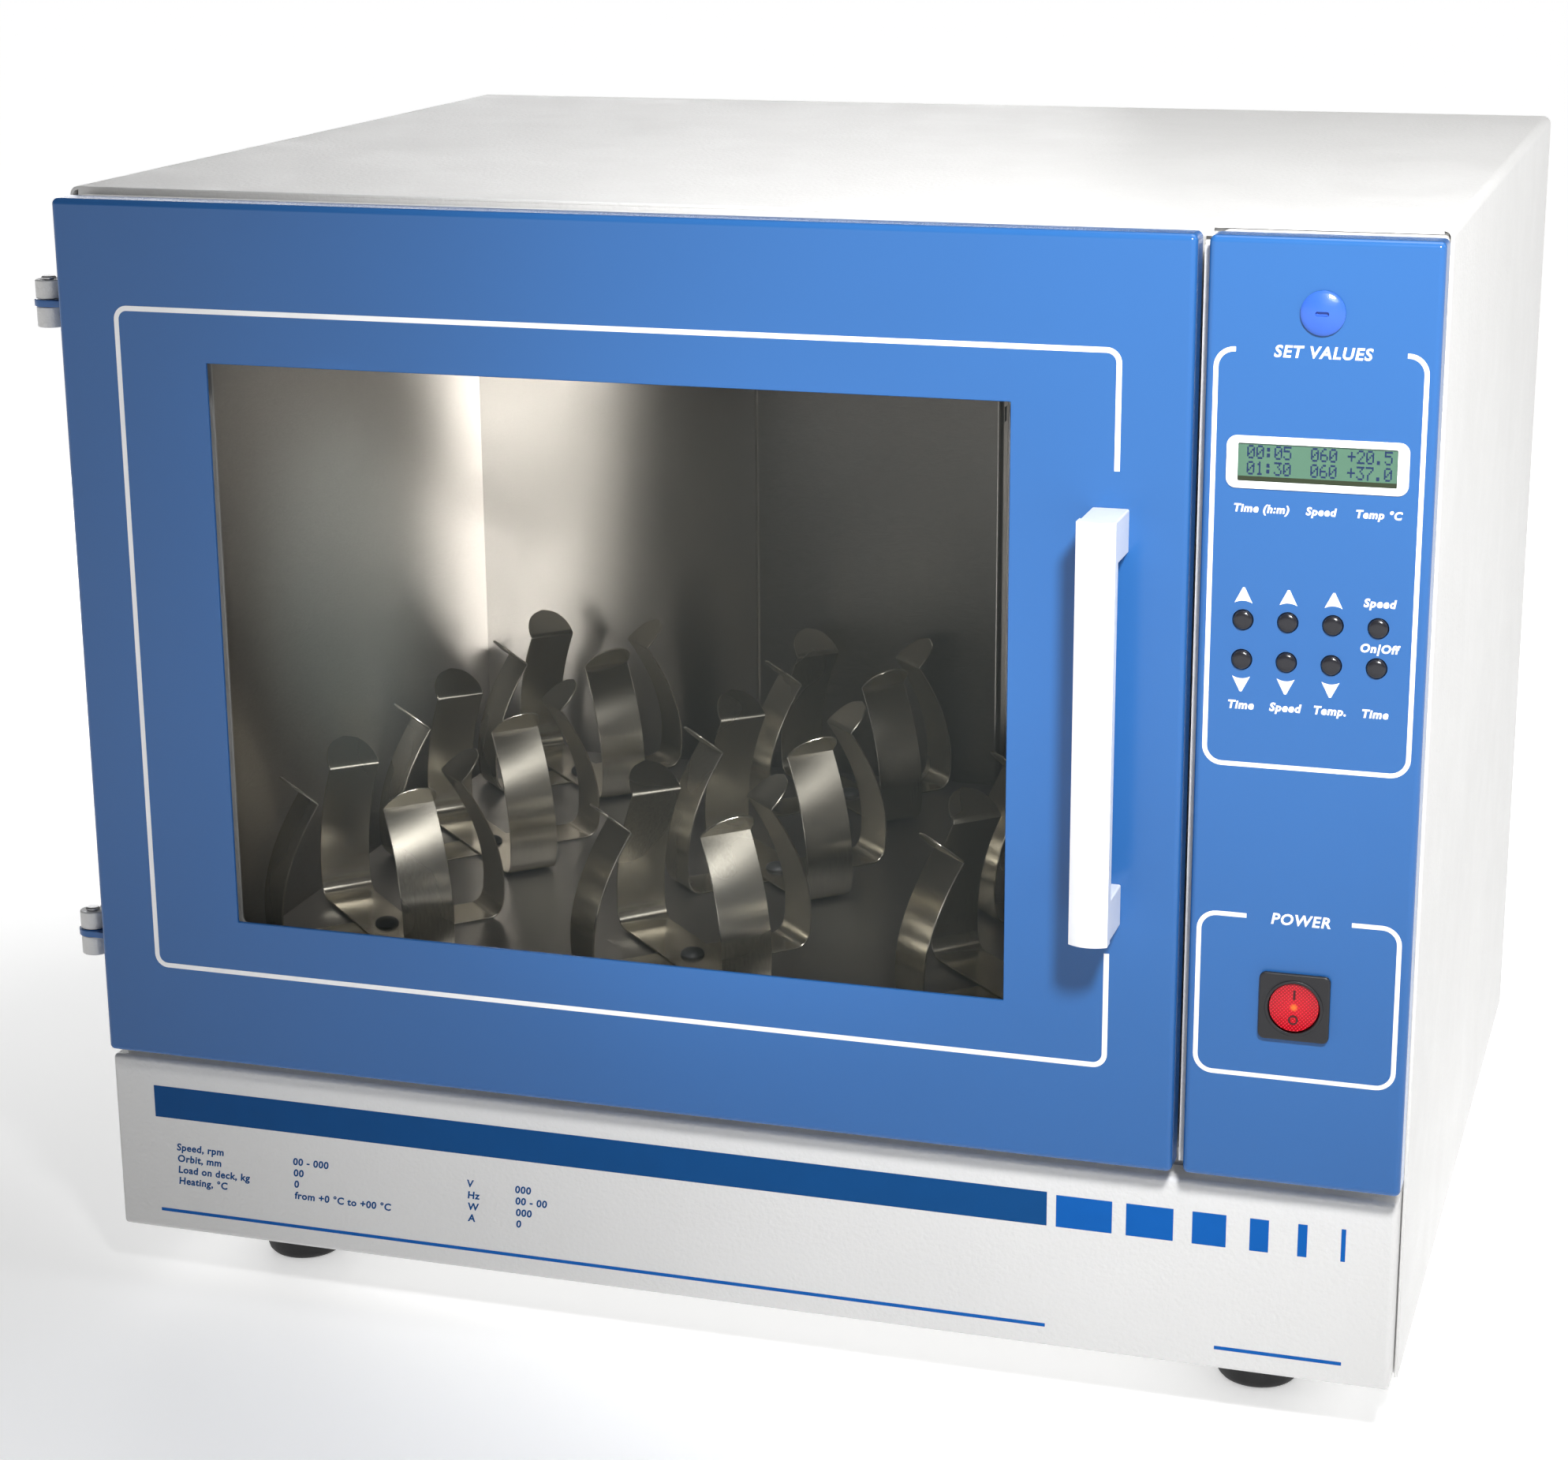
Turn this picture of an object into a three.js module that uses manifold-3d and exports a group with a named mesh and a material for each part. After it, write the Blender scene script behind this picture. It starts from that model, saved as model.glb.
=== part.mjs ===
// Incubator type orbital shaker: an insulated chamber with a glazed door, a
// platform of flask clamps that circles on an eccentric drive, and a control panel.
// Millimetres, +Z up, the front faces -Y. Before the last shift, x = 0 is the middle
// of the casing, y = 0 the casing's front edge and z = 0 the underside of the feet.
import * as THREE from 'three';
import { mergeVertices } from 'three/addons/utils/BufferGeometryUtils.js';
import Module from 'manifold-3d';

const wasm = await Module();
wasm.setup();

// ---------- driving dimensions ----------
const GAP = 0.3;                       // clearance between neighbouring parts
const SHEET = 1.5;                     // painted steel sheet
const CASE_HALF_WIDTH = 295;
const CASE_DEPTH = 464;
const CASE_TOP = 510;
const FOOT_HEIGHT = 28;
const CASE_BOTTOM = FOOT_HEIGHT;
const INSIDE = CASE_HALF_WIDTH - SHEET - GAP;   // half width of what fits in the casing

const DOOR = { x0: -289, x1: 201.5, z0: 121.5, z1: 508 };
const PANEL = { x0: 206, x1: 295, z0: 122, z1: 508 };
const WINDOW = { x0: -220, x1: 129.5, z0: 190, z1: 440.4 };
const FASCIA_FRONT = -27.8;            // front face of the door and of the control panel
const FASCIA_BACK = -14.8;             // back edge of their painted flanges
const LOWER_FRONT = -14.4;             // front face of the lower panel
const LOWER_TOP = 113.5;
const CORNER = 2.5;

const FRAME_FRONT = 3;                 // the front frame sits just inside the casing
const DIVIDER_FRONT = -19;             // the upright bead between door and control panel
const CHAMBER = { x0: -274, x1: 182, y1: 397, z0: 131.2, z1: 484 };
const LINER = 1.2;
const MOUTH = { x0: -268, x1: 178, z0: 138, z1: 478 };
const INSULATION = { x0: -292, x1: 204.5, y1: 417, z0: 114, z1: 507.5 };

const CRANK = { x: -46, y: 194 };      // axis of the main crank
const ORBIT_RADIUS = 10;               // a 20 mm orbit
const REST_PHASE = THREE.MathUtils.degToRad(60);
const ORBIT = {
  x: ORBIT_RADIUS * Math.cos(REST_PHASE),
  y: ORBIT_RADIUS * Math.sin(REST_PHASE),
};
const PLATFORM = { x: CRANK.x + ORBIT.x, y: CRANK.y + ORBIT.y };
const TRAY = { width: 420, depth: 350, top: 155.5, sheet: 2, fold: 12 };
const CLAMP_PITCH = { x: 153, y: 130 };
const FLASK_BASE = 157.3;              // top of a clamp's base, where a flask stands
const CLAMP_SHEET = 1.5;
const FINGER_WIDTH = 25;
const IDLERS = [
  { name: 'idler_crank_rear', x: 0, y: 115 },
  { name: 'idler_crank_left', x: -125, y: -75 },
  { name: 'idler_crank_right', x: 125, y: -75 },
];
const SHAFT_RADIUS = 10;
const IDLER_RADIUS = 6;
const CHASSIS = { x0: -226, x1: 134, y0: 64, y1: 354, z0: 60, z1: 63 };
const CRANK_DISC = { z0: 134, z1: 142 };
const PIN_TOP = 152.5;
const BELT = { z0: 37.5, z1: 44.5, thickness: 1.8 };
const PULLEY_RADIUS = 60;
const MOTOR_PULLEY_RADIUS = 15;
const MOTOR = { x: 84, y: 250, radius: 32, z0: 63.3, z1: 111 };

const FAN = { x: -41, z: 400, radius: 42 };
const DUCT = { halfWidth: 69, z0: 140, depth: 12 };
const HINGE = { x: -300, y: -14, radius: 6, pin: 2, heights: [461.8, 174] };
const HANDLE = { x0: 162.4, x1: 178.2, z0: 227.5, z1: 400.5, front: -58, bar: 8, post: 18 };
const LCD = { x0: 218, x1: 282.5, z0: 413.6, z1: 429.4 };
const SWITCH = { x: 249.7, z: 200.4, flange: 28.5, body: 25.4, bore: 10.5, tilt: 7 };
const CAP = { x: 250.3, z: 480, radius: 8.6 };
const BUTTON = { x0: 223.7, pitchX: 17.5, z0: 358.8, pitchZ: 16, radius: 3.9 };
const BUTTON_NAMES = [
  ['button_time_up', 'button_speed_up', 'button_temperature_up', 'button_speed_run'],
  ['button_time_down', 'button_speed_down', 'button_temperature_down', 'button_time_run'],
];
const INLET = { x: 235, z: 78 };
const FOOT_PLACES = [
  ['foot_front_left', -230, 44],
  ['foot_front_right', 230, 44],
  ['foot_rear_left', -230, 420],
  ['foot_rear_right', 230, 420],
];

// ---------- materials ----------
function finish(colour, roughness, metalness) {
  return new THREE.MeshStandardMaterial({ color: colour, roughness, metalness });
}
const FINISH = {
  white: () => finish(0xf1efec, 0.55, 0),
  blue: () => finish(0x2f63a8, 0.35, 0),
  steel: () => finish(0xb9b6ae, 0.3, 1),
  darkSteel: () => finish(0x6b6d70, 0.4, 1),
  aluminium: () => finish(0xd9dadb, 0.4, 0.6),
  rubber: () => finish(0x17181a, 0.7, 0),
  plastic: () => finish(0x202226, 0.45, 0),
  red: () => finish(0xd3121a, 0.25, 0),
  glass: () => finish(0xcfd8d6, 0.05, 0),
  foam: () => finish(0xd9c98f, 0.9, 0),
  board: () => finish(0x1f5b3a, 0.5, 0),
  display: () => finish(0x6d9a6b, 0.3, 0),
};

// ---------- solids ----------
function solid(geometry) {
  const bare = geometry.index ? geometry.toNonIndexed() : geometry.clone();
  bare.deleteAttribute('normal');
  bare.deleteAttribute('uv');
  const merged = mergeVertices(bare, 1e-5);
  return new wasm.Manifold(new wasm.Mesh({
    numProp: 3,
    vertProperties: new Float32Array(merged.attributes.position.array),
    triVerts: new Uint32Array(merged.index.array),
  }));
}

function join(pieces) {
  return pieces.reduce((whole, piece) => whole.add(piece));
}

function cut(body, tools) {
  return tools.reduce((left, tool) => left.subtract(tool), body);
}

function box(x0, x1, y0, y1, z0, z1) {
  const geometry = new THREE.BoxGeometry(x1 - x0, y1 - y0, z1 - z0);
  geometry.translate((x0 + x1) / 2, (y0 + y1) / 2, (z0 + z1) / 2);
  return solid(geometry);
}

function rectangle(u0, u1, v0, v1, radius) {
  const shape = new THREE.Shape();
  shape.moveTo(u0 + radius, v0);
  shape.lineTo(u1 - radius, v0);
  shape.absarc(u1 - radius, v0 + radius, radius, -Math.PI / 2, 0);
  shape.lineTo(u1, v1 - radius);
  shape.absarc(u1 - radius, v1 - radius, radius, 0, Math.PI / 2);
  shape.lineTo(u0 + radius, v1);
  shape.absarc(u0 + radius, v1 - radius, radius, Math.PI / 2, Math.PI);
  shape.lineTo(u0, v0 + radius);
  shape.absarc(u0 + radius, v0 + radius, radius, Math.PI, 1.5 * Math.PI);
  return shape;
}

// An outline in X and Z, extruded along Y.
function alongY(shape, y0, y1, curveSegments = 1) {
  const depth = y1 - y0;
  const geometry = new THREE.ExtrudeGeometry(shape, { depth, bevelEnabled: false, curveSegments });
  geometry.rotateX(Math.PI / 2);
  geometry.translate(0, y1, 0);
  return solid(geometry);
}

// An outline in X and Y, extruded along Z.
function alongZ(shape, z0, z1, curveSegments = 2) {
  const depth = z1 - z0;
  const geometry = new THREE.ExtrudeGeometry(shape, { depth, bevelEnabled: false, curveSegments });
  geometry.translate(0, 0, z0);
  return solid(geometry);
}

function slab(area, y0, y1, radius = CORNER) {
  return alongY(rectangle(area.x0, area.x1, area.z0, area.z1, radius), y0, y1);
}

function grown(area, by) {
  return { x0: area.x0 - by, x1: area.x1 + by, z0: area.z0 - by, z1: area.z1 + by };
}

function rodZ(x, y, z0, z1, radius, sides = 16) {
  const geometry = new THREE.CylinderGeometry(radius, radius, z1 - z0, sides);
  geometry.rotateX(Math.PI / 2);
  geometry.translate(x, y, (z0 + z1) / 2);
  return solid(geometry);
}

function rodY(x, z, y0, y1, radius, sides = 16) {
  const geometry = new THREE.CylinderGeometry(radius, radius, y1 - y0, sides);
  geometry.translate(x, (y0 + y1) / 2, z);
  return solid(geometry);
}

// A turned piece on an axis along Z; the profile is a list of [radius, height].
function turned(profile, x, y, z, sides = 24) {
  const points = profile.map(([radius, height]) => new THREE.Vector2(radius, height));
  const geometry = new THREE.LatheGeometry(points, sides);
  geometry.rotateX(Math.PI / 2);
  geometry.translate(x, y, z);
  return solid(geometry);
}

const object = new THREE.Group();

function part(name, body, material) {
  const { vertProperties, triVerts } = body.getMesh();
  const geometry = new THREE.BufferGeometry();
  geometry.setAttribute('position', new THREE.BufferAttribute(new Float32Array(vertProperties), 3));
  geometry.setIndex(new THREE.BufferAttribute(new Uint32Array(triVerts), 1));
  geometry.computeVertexNormals();
  const mesh = new THREE.Mesh(geometry, material);
  mesh.name = name;
  object.add(mesh);
}

// ---------- cabinet ----------
function outerCasing() {
  const outside = { x0: -CASE_HALF_WIDTH, x1: CASE_HALF_WIDTH, z0: CASE_BOTTOM - 20, z1: CASE_TOP };
  const shell = cut(slab(outside, 0, CASE_DEPTH, 4), [
    slab(grown(outside, -SHEET), -1, CASE_DEPTH + 1, CORNER),
    box(-400, 400, -1, CASE_DEPTH + 1, CASE_BOTTOM - 50, CASE_BOTTOM),
  ]);
  const hemEnd = CASE_HALF_WIDTH - 4;
  part('outer_casing', join([
    shell,
    box(-hemEnd, PANEL.x0 - 3, 0, SHEET, CASE_TOP - 6, CASE_TOP - 1),
    box(PANEL.x0 - 4, hemEnd, 0, SHEET, CASE_TOP - 2.7, CASE_TOP - 1),
  ]), FINISH.white());
}

function basePan() {
  const y0 = FRAME_FRONT + SHEET + GAP;
  const y1 = CASE_DEPTH - 2 * SHEET + 0.9;
  const fold = CASE_BOTTOM + 25;
  part('base_pan', cut(box(-INSIDE, INSIDE, y0, y1, CASE_BOTTOM, fold), [
    box(-INSIDE + SHEET, INSIDE - SHEET, y0 + SHEET, y1 - SHEET, CASE_BOTTOM + SHEET, fold + 1),
  ]), FINISH.white());
}

function rearPanel() {
  const y0 = CASE_DEPTH - 1.8;
  const y1 = y0 + SHEET;
  const slots = [];
  for (let row = 0; row < 8; row += 1) {
    const z = FAN.z - 42 + row * 12;
    slots.push(box(FAN.x - 45, FAN.x + 45, y0 - 1, y1 + 1, z, z + 4));
  }
  for (let column = 0; column < 10; column += 1) {
    const x = -200 + column * 12;
    slots.push(box(x, x + 4, y0 - 1, y1 + 1, 60, 96));
  }
  const inletHole = box(INLET.x - 14, INLET.x + 14, y0 - 1, y1 + 1, INLET.z - 24, INLET.z + 24);
  const area = { x0: -INSIDE, x1: INSIDE, z0: CASE_BOTTOM + GAP, z1: CASE_TOP - SHEET - GAP };
  part('rear_panel', cut(slab(area, y0, y1, 3), [...slots, inletHole]), FINISH.white());
}

function lowerFrontPanel() {
  const area = { x0: -295, x1: 293, z0: CASE_BOTTOM + 0.5, z1: LOWER_TOP };
  part('lower_front_panel', cut(slab(area, LOWER_FRONT, -GAP, 2), [
    slab(grown(area, -SHEET), LOWER_FRONT + SHEET, 1, 1),
  ]), FINISH.white());
}

function frontFrame() {
  const area = { x0: -INSIDE, x1: INSIDE, z0: CASE_BOTTOM + GAP, z1: CASE_TOP - SHEET - GAP };
  const rim = { x0: 207, x1: INSIDE, z0: 123, z1: 507 };
  const rimDepth = FASCIA_BACK + GAP;
  const plate = slab(area, FRAME_FRONT, FRAME_FRONT + SHEET, 3);
  const rimWall = cut(slab(rim, rimDepth, FRAME_FRONT + 1, 2), [
    slab(grown(rim, -SHEET), rimDepth - 1, FRAME_FRONT + 2, 1),
  ]);
  const bead = box(203, 205.6, DIVIDER_FRONT, FRAME_FRONT + 1, 124, CASE_TOP - 7);
  part('front_frame', cut(join([plate, rimWall, bead]), [
    slab(MOUTH, 0, 10, 6),
    slab({ x0: 216, x1: 284, z0: 150, z1: 480 }, 0, 10, 3),
    slab({ x0: -272, x1: 272, z0: 38, z1: 104 }, 0, 10, 3),
  ]), FINISH.white());
}

function shaftHoles(z0, z1, mainRadius, idlerRadius) {
  const idlerHoles = IDLERS.map(({ x, y }) => rodZ(CRANK.x + x, CRANK.y + y, z0, z1, idlerRadius, 12));
  return [rodZ(CRANK.x, CRANK.y, z0, z1, mainRadius), ...idlerHoles];
}

function heaterLegs() {
  return [-8, 8].map((offset) => ({ x: FAN.x + offset, z: FAN.z - 56 }));
}

function rearHoles(y0, y1) {
  const legs = heaterLegs().map(({ x, z }) => rodY(x, z, y0, y1, 4, 8));
  return [rodY(FAN.x, FAN.z, y0, y1, 6, 12), ...legs];
}

function chamberLiner() {
  const y0 = FRAME_FRONT + SHEET + GAP;
  const outside = grown(CHAMBER, LINER);
  part('chamber_liner', cut(slab(outside, y0, CHAMBER.y1 + LINER, 5), [
    slab(CHAMBER, y0 - 1, CHAMBER.y1, 4),
    ...shaftHoles(CHAMBER.z0 - 5, CHAMBER.z0 + 2, 15, 10),
    ...rearHoles(CHAMBER.y1 - 2, CHAMBER.y1 + 5),
  ]), FINISH.steel());
}

function insulationJacket() {
  const { x0, x1, z0, z1 } = INSULATION;
  const y0 = FRAME_FRONT + SHEET + 1.5;
  part('insulation_jacket', cut(box(x0, x1, y0, INSULATION.y1, z0, z1), [
    slab(grown(CHAMBER, LINER + GAP), y0 - 1, CHAMBER.y1 + LINER + GAP, 5),
    ...shaftHoles(z0 - 1, CHAMBER.z0, 30, 20),
    ...rearHoles(CHAMBER.y1, INSULATION.y1 + 1),
  ]), FINISH.foam());
}

function fanDuctCover() {
  const y0 = CHAMBER.y1 - GAP - DUCT.depth;
  const y1 = CHAMBER.y1 - GAP;
  const x0 = FAN.x - DUCT.halfWidth;
  const x1 = FAN.x + DUCT.halfWidth;
  const top = CHAMBER.z1 - GAP;
  const louvres = [];
  for (let row = 0; row < 6; row += 1) {
    const z = FAN.z - 48 + row * 18;
    louvres.push(box(x0 - 1, x1 + 1, y0 + 4, y0 + 9, z, z + 8));
  }
  part('fan_duct_cover', cut(box(x0, x1, y0, y1, DUCT.z0, top), [
    box(x0 + LINER, x1 - LINER, y0 + LINER, y1 + 1, DUCT.z0 - 1, top - LINER),
    ...louvres,
  ]), FINISH.steel());
}

function heaterRing() {
  const y = CHAMBER.y1 - 6;
  const ring = new THREE.TorusGeometry(56, 3, 6, 24);
  ring.rotateX(Math.PI / 2);
  ring.translate(FAN.x, y, FAN.z);
  const legs = heaterLegs().map(({ x, z }) => rodY(x, z, y, INSULATION.y1 + 10, 2.6, 8));
  part('heater_ring', join([solid(ring), ...legs]), FINISH.darkSteel());
}

function fanMotor() {
  const y0 = INSULATION.y1 + 0.5;
  part('fan_motor', cut(join([
    rodY(FAN.x, FAN.z, y0, y0 + 36, 28, 24),
    box(FAN.x - 40, FAN.x + 40, y0, y0 + 3, FAN.z - 8, FAN.z + 8),
    rodY(FAN.x, FAN.z, y0 + 35, y0 + 42, 9, 16),
  ]), [rodY(FAN.x, FAN.z, y0 - 1, y0 + 14, 3.6, 16)]), FINISH.darkSteel());
}

// ---------- control panel ----------
function buttonPlaces() {
  return BUTTON_NAMES.flatMap((row, rowIndex) => row.map((name, column) => ({
    name,
    x: BUTTON.x0 + column * BUTTON.pitchX,
    z: BUTTON.z0 - rowIndex * BUTTON.pitchZ,
  })));
}

function controlPanelCover() {
  const half = SWITCH.body / 2 + GAP;
  part('control_panel_cover', cut(slab(PANEL, FASCIA_FRONT, FASCIA_BACK), [
    slab(grown(PANEL, -SHEET), FASCIA_FRONT + SHEET, 0, 1),
    slab(grown(LCD, GAP), FASCIA_FRONT - 1, 0, 1),
    rodY(CAP.x, CAP.z, FASCIA_FRONT - 1, 0, 5),
    box(SWITCH.x - half, SWITCH.x + half, FASCIA_FRONT - 1, 0, SWITCH.z - half, SWITCH.z + half),
    ...buttonPlaces().map(({ x, z }) => rodY(x, z, FASCIA_FRONT - 1, 0, BUTTON.radius + GAP, 12)),
  ]), FINISH.blue());
}

function blankingCap() {
  const front = FASCIA_FRONT - GAP;
  const profile = [[0, -8], [4.6, -8], [4.6, 0], [CAP.radius, 0], [CAP.radius, 1], [6, 2.4], [0, 3]];
  const points = profile.map(([radius, height]) => new THREE.Vector2(radius, height));
  const geometry = new THREE.LatheGeometry(points, 24);
  geometry.rotateX(Math.PI);
  geometry.translate(CAP.x, front, CAP.z);
  const slot = box(CAP.x - 2.6, CAP.x + 2.6, front - 4, front - 1.6, CAP.z - 0.9, CAP.z + 0.9);
  part('blanking_cap', solid(geometry).subtract(slot), FINISH.blue());
}

function lcdModule() {
  const face = box(LCD.x0, LCD.x1, FASCIA_FRONT + GAP, -22, LCD.z0, LCD.z1);
  const carrier = box(LCD.x0 - 7, LCD.x1 + 7, -25.8, -18.6, LCD.z0 - 8, LCD.z1 + 8);
  part('lcd_module', join([face, carrier]), FINISH.display());
}

function controlBoard() {
  const board = box(212, 289, -18, -16.4, 256, 396);
  const switches = buttonPlaces().map(({ x, z }) => box(x - 3, x + 3, -21.4, -17, z - 3, z + 3));
  const relay = box(222, 242, -25, -17, 268, 292);
  const buzzer = box(256, 276, -24, -17, 270, 286);
  part('control_board', join([board, relay, buzzer, ...switches]), FINISH.board());
}

function powerSwitchHousing() {
  const half = SWITCH.body / 2;
  const front = FASCIA_FRONT - GAP;
  const area = { x0: SWITCH.x, x1: SWITCH.x, z0: SWITCH.z, z1: SWITCH.z };
  const flange = slab(grown(area, SWITCH.flange / 2), front - 2, front, 2);
  const body = box(SWITCH.x - half, SWITCH.x + half, front - 1, -6, SWITCH.z - half, SWITCH.z + half);
  part('power_switch_housing', cut(join([flange, body]), [
    rodY(SWITCH.x, SWITCH.z, front - 3, -12, SWITCH.bore, 24),
  ]), FINISH.plastic());
}

function powerRocker() {
  const geometry = new THREE.CylinderGeometry(9.9, 9.9, 8, 24);
  const hollow = new THREE.CylinderGeometry(60, 60, 40, 72);
  hollow.rotateZ(Math.PI / 2);
  hollow.translate(0, -63, 0);
  const disc = solid(geometry).subtract(solid(hollow));
  const tilted = disc.rotate([-SWITCH.tilt, 0, 0]).translate([SWITCH.x, -27, SWITCH.z]);
  part('power_rocker', tilted, FINISH.red());
}

function buttons() {
  for (const { name, x, z } of buttonPlaces()) {
    part(name, join([
      rodY(x, z, FASCIA_FRONT - 1.8, FASCIA_FRONT + 4.6, BUTTON.radius, 12),
      rodY(x, z, FASCIA_FRONT + SHEET + GAP, FASCIA_FRONT + 3, BUTTON.radius + 0.9, 12),
    ]), FINISH.plastic());
  }
}

// ---------- power ----------
function powerSupply() {
  const x0 = 172;
  const y0 = 296;
  const base = CASE_BOTTOM + SHEET + GAP;
  const fins = [];
  for (let index = 0; index < 6; index += 1) {
    fins.push(box(x0 + index * 18, x0 + index * 18 + 4, y0, y0 + 116, base + 44, base + 54));
  }
  const body = box(x0, x0 + 94, y0, y0 + 116, base, base + 45);
  part('power_supply', join([body, ...fins]), FINISH.darkSteel());
}

function powerInlet() {
  const back = CASE_DEPTH + 2.5;
  const { x, z } = INLET;
  const flange = box(x - 17, x + 17, CASE_DEPTH, back, z - 28, z + 28);
  const body = box(x - 13.5, x + 13.5, 430, CASE_DEPTH + 1, z - 23.5, z + 23.5);
  const recess = slab({ x0: x - 11.5, x1: x + 11.5, z0: z - 21, z1: z - 3 }, back - 17, back + 1, 3);
  const pins = [[-7, -14], [0, -9], [7, -14]].map(([dx, dz]) => (
    box(x + dx - 1, x + dx + 1, back - 19, back - 7, z + dz - 3, z + dz + 3)));
  const fuseCap = box(x - 10, x + 10, back - 1, back + 1, z + 3, z + 20);
  part('power_inlet', join([cut(join([flange, body]), [recess]), fuseCap, ...pins]), FINISH.plastic());
}

// ---------- feet, hinges and gasket ----------
function feet() {
  const top = FOOT_HEIGHT - GAP;
  const profile = [[0, 0], [15, 0], [18, 2], [20, top - 6], [20, top], [0, top]];
  for (const [name, x, y] of FOOT_PLACES) {
    part(name, turned(profile, x, y, 0, 16), FINISH.rubber());
  }
}

function hinge(name, z) {
  const { x, y, radius, pin } = HINGE;
  const barrels = [[1.8, 9.7], [-10.7, -1.8]].flatMap(([low, high]) => [
    rodZ(x, y, z + low, z + high, radius, 12),
    box(x + 0.2, -CASE_HALF_WIDTH - GAP, y, 4, z + low, z + high),
  ]);
  const leaf = box(x + 2.2, -CASE_HALF_WIDTH - GAP, 3, 34, z - 14, z + 13);
  part(`hinge_bracket_${name}`, cut(join([leaf, ...barrels]), [
    rodZ(x, y, z - 20, z + 20, pin + GAP, 8),
  ]), FINISH.white());
  part(`hinge_pin_${name}`, join([
    rodZ(x, y, z - 11.2, z + 10.2, pin, 8),
    rodZ(x, y, z + 10, z + 11, 3.2, 8),
  ]), FINISH.steel());
}

function doorGasket() {
  const outside = { x0: -282, x1: 194, z0: 124, z1: 492 };
  part('door_gasket', cut(slab(outside, -0.7, FRAME_FRONT - GAP, 8), [
    slab(grown(MOUTH, 0.8), -2, FRAME_FRONT, 6),
  ]), FINISH.rubber());
}

// ---------- door ----------
function doorShell() {
  const flange = cut(slab(DOOR, FASCIA_FRONT, FASCIA_BACK), [
    slab(grown(DOOR, -SHEET), FASCIA_FRONT + SHEET, 0, 1),
    slab(WINDOW, FASCIA_FRONT - 1, 0, 0.6),
  ]);
  const tabs = HINGE.heights.flatMap((z) => [
    box(HINGE.x, DOOR.x0 + 1, HINGE.y - 6.4, FASCIA_BACK - 0.2, z - 1.5, z + 1.5),
    rodZ(HINGE.x, HINGE.y, z - 1.5, z + 1.5, HINGE.radius + 0.8, 12),
  ]);
  const pinHoles = HINGE.heights.map((z) => rodZ(HINGE.x, HINGE.y, z - 3, z + 3, HINGE.pin + GAP, 8));
  part('door_shell', cut(join([flange, ...tabs]), pinHoles), FINISH.blue());
}

function doorInnerPan() {
  const area = { x0: DOOR.x0 + 1, x1: DOOR.x1 - 1, z0: DOOR.z0 + 1, z1: DOOR.z1 - 1 };
  const back = -1;
  part('door_inner_pan', cut(slab(area, FASCIA_BACK + GAP, back, 2), [
    slab(grown(area, -SHEET), -20, back - SHEET, 1),
    slab(grown(WINDOW, 10.8), -20, 1, 4),
  ]), FINISH.white());
}

function doorGlass() {
  const front = FASCIA_FRONT + SHEET + GAP;
  part('outer_glass', slab(grown(WINDOW, 18), front, front + 4, 3), FINISH.glass());
  part('inner_glass', slab(grown(WINDOW, 16), -6.8, -2.8, 3), FINISH.glass());
}

function doorHandle() {
  const { x0, x1, z0, z1, front, bar, post } = HANDLE;
  const middle = (x0 + x1) / 2;
  const section = new THREE.Shape();
  section.moveTo(x0, front + bar);
  section.lineTo(x0, front + 1.6);
  section.quadraticCurveTo(middle, front - 1.6, x1, front + 1.6);
  section.lineTo(x1, front + bar);
  part('door_handle', join([
    alongZ(section, z0, z1, 4),
    box(x0, x1, front + bar - 1, FASCIA_FRONT - GAP, z0, z0 + post),
    box(x0, x1, front + bar - 1, FASCIA_FRONT - GAP, z1 - post, z1),
  ]), FINISH.aluminium());
}

// ---------- drive ----------
function driveChassis() {
  const { x0, x1, y0, y1, z0, z1 } = CHASSIS;
  const floor = CASE_BOTTOM + SHEET + GAP;
  const posts = [x0 + 12, x1 - 12].flatMap((x) => (
    [y0 + 12, y1 - 12].map((y) => rodZ(x, y, floor, z0 + 1, 8, 8))));
  const housings = IDLERS.map(({ x, y }) => rodZ(CRANK.x + x, CRANK.y + y, 50, 126, 18, 12));
  part('drive_chassis', cut(join([
    box(x0, x1, y0, y1, z0, z1),
    rodZ(CRANK.x, CRANK.y, 50, 126, 28),
    ...housings,
    ...posts,
  ]), [
    rodZ(CRANK.x, CRANK.y, 40, 130, SHAFT_RADIUS + GAP),
    rodZ(MOTOR.x, MOTOR.y, 50, 70, 12, 12),
    ...IDLERS.map(({ x, y }) => rodZ(CRANK.x + x, CRANK.y + y, 40, 130, IDLER_RADIUS + 2 * GAP, 10)),
  ]), FINISH.darkSteel());
}

function driveMotor() {
  const { x, y, radius, z0, z1 } = MOTOR;
  part('drive_motor', cut(join([
    rodZ(x, y, z0, z1 - 8, radius),
    rodZ(x, y, z1 - 9, z1, radius - 8),
    box(x - radius - 6, x + radius + 6, y - 14, y + 14, z0, z0 + 5),
  ]), [rodZ(x, y, z0 - 1, z0 + 20, 4.6, 16)]), FINISH.darkSteel());
}

// The loop round two wheels: arcs joined by their outer tangents.
function beltOutline(shape, bigRadius, smallRadius) {
  const dx = MOTOR.x - CRANK.x;
  const dy = MOTOR.y - CRANK.y;
  const heading = Math.atan2(dy, dx);
  const open = Math.acos((bigRadius - smallRadius) / Math.hypot(dx, dy));
  shape.absarc(CRANK.x, CRANK.y, bigRadius, heading + open, heading - open + 2 * Math.PI);
  shape.absarc(MOTOR.x, MOTOR.y, smallRadius, heading - open, heading + open);
  return shape;
}

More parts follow.
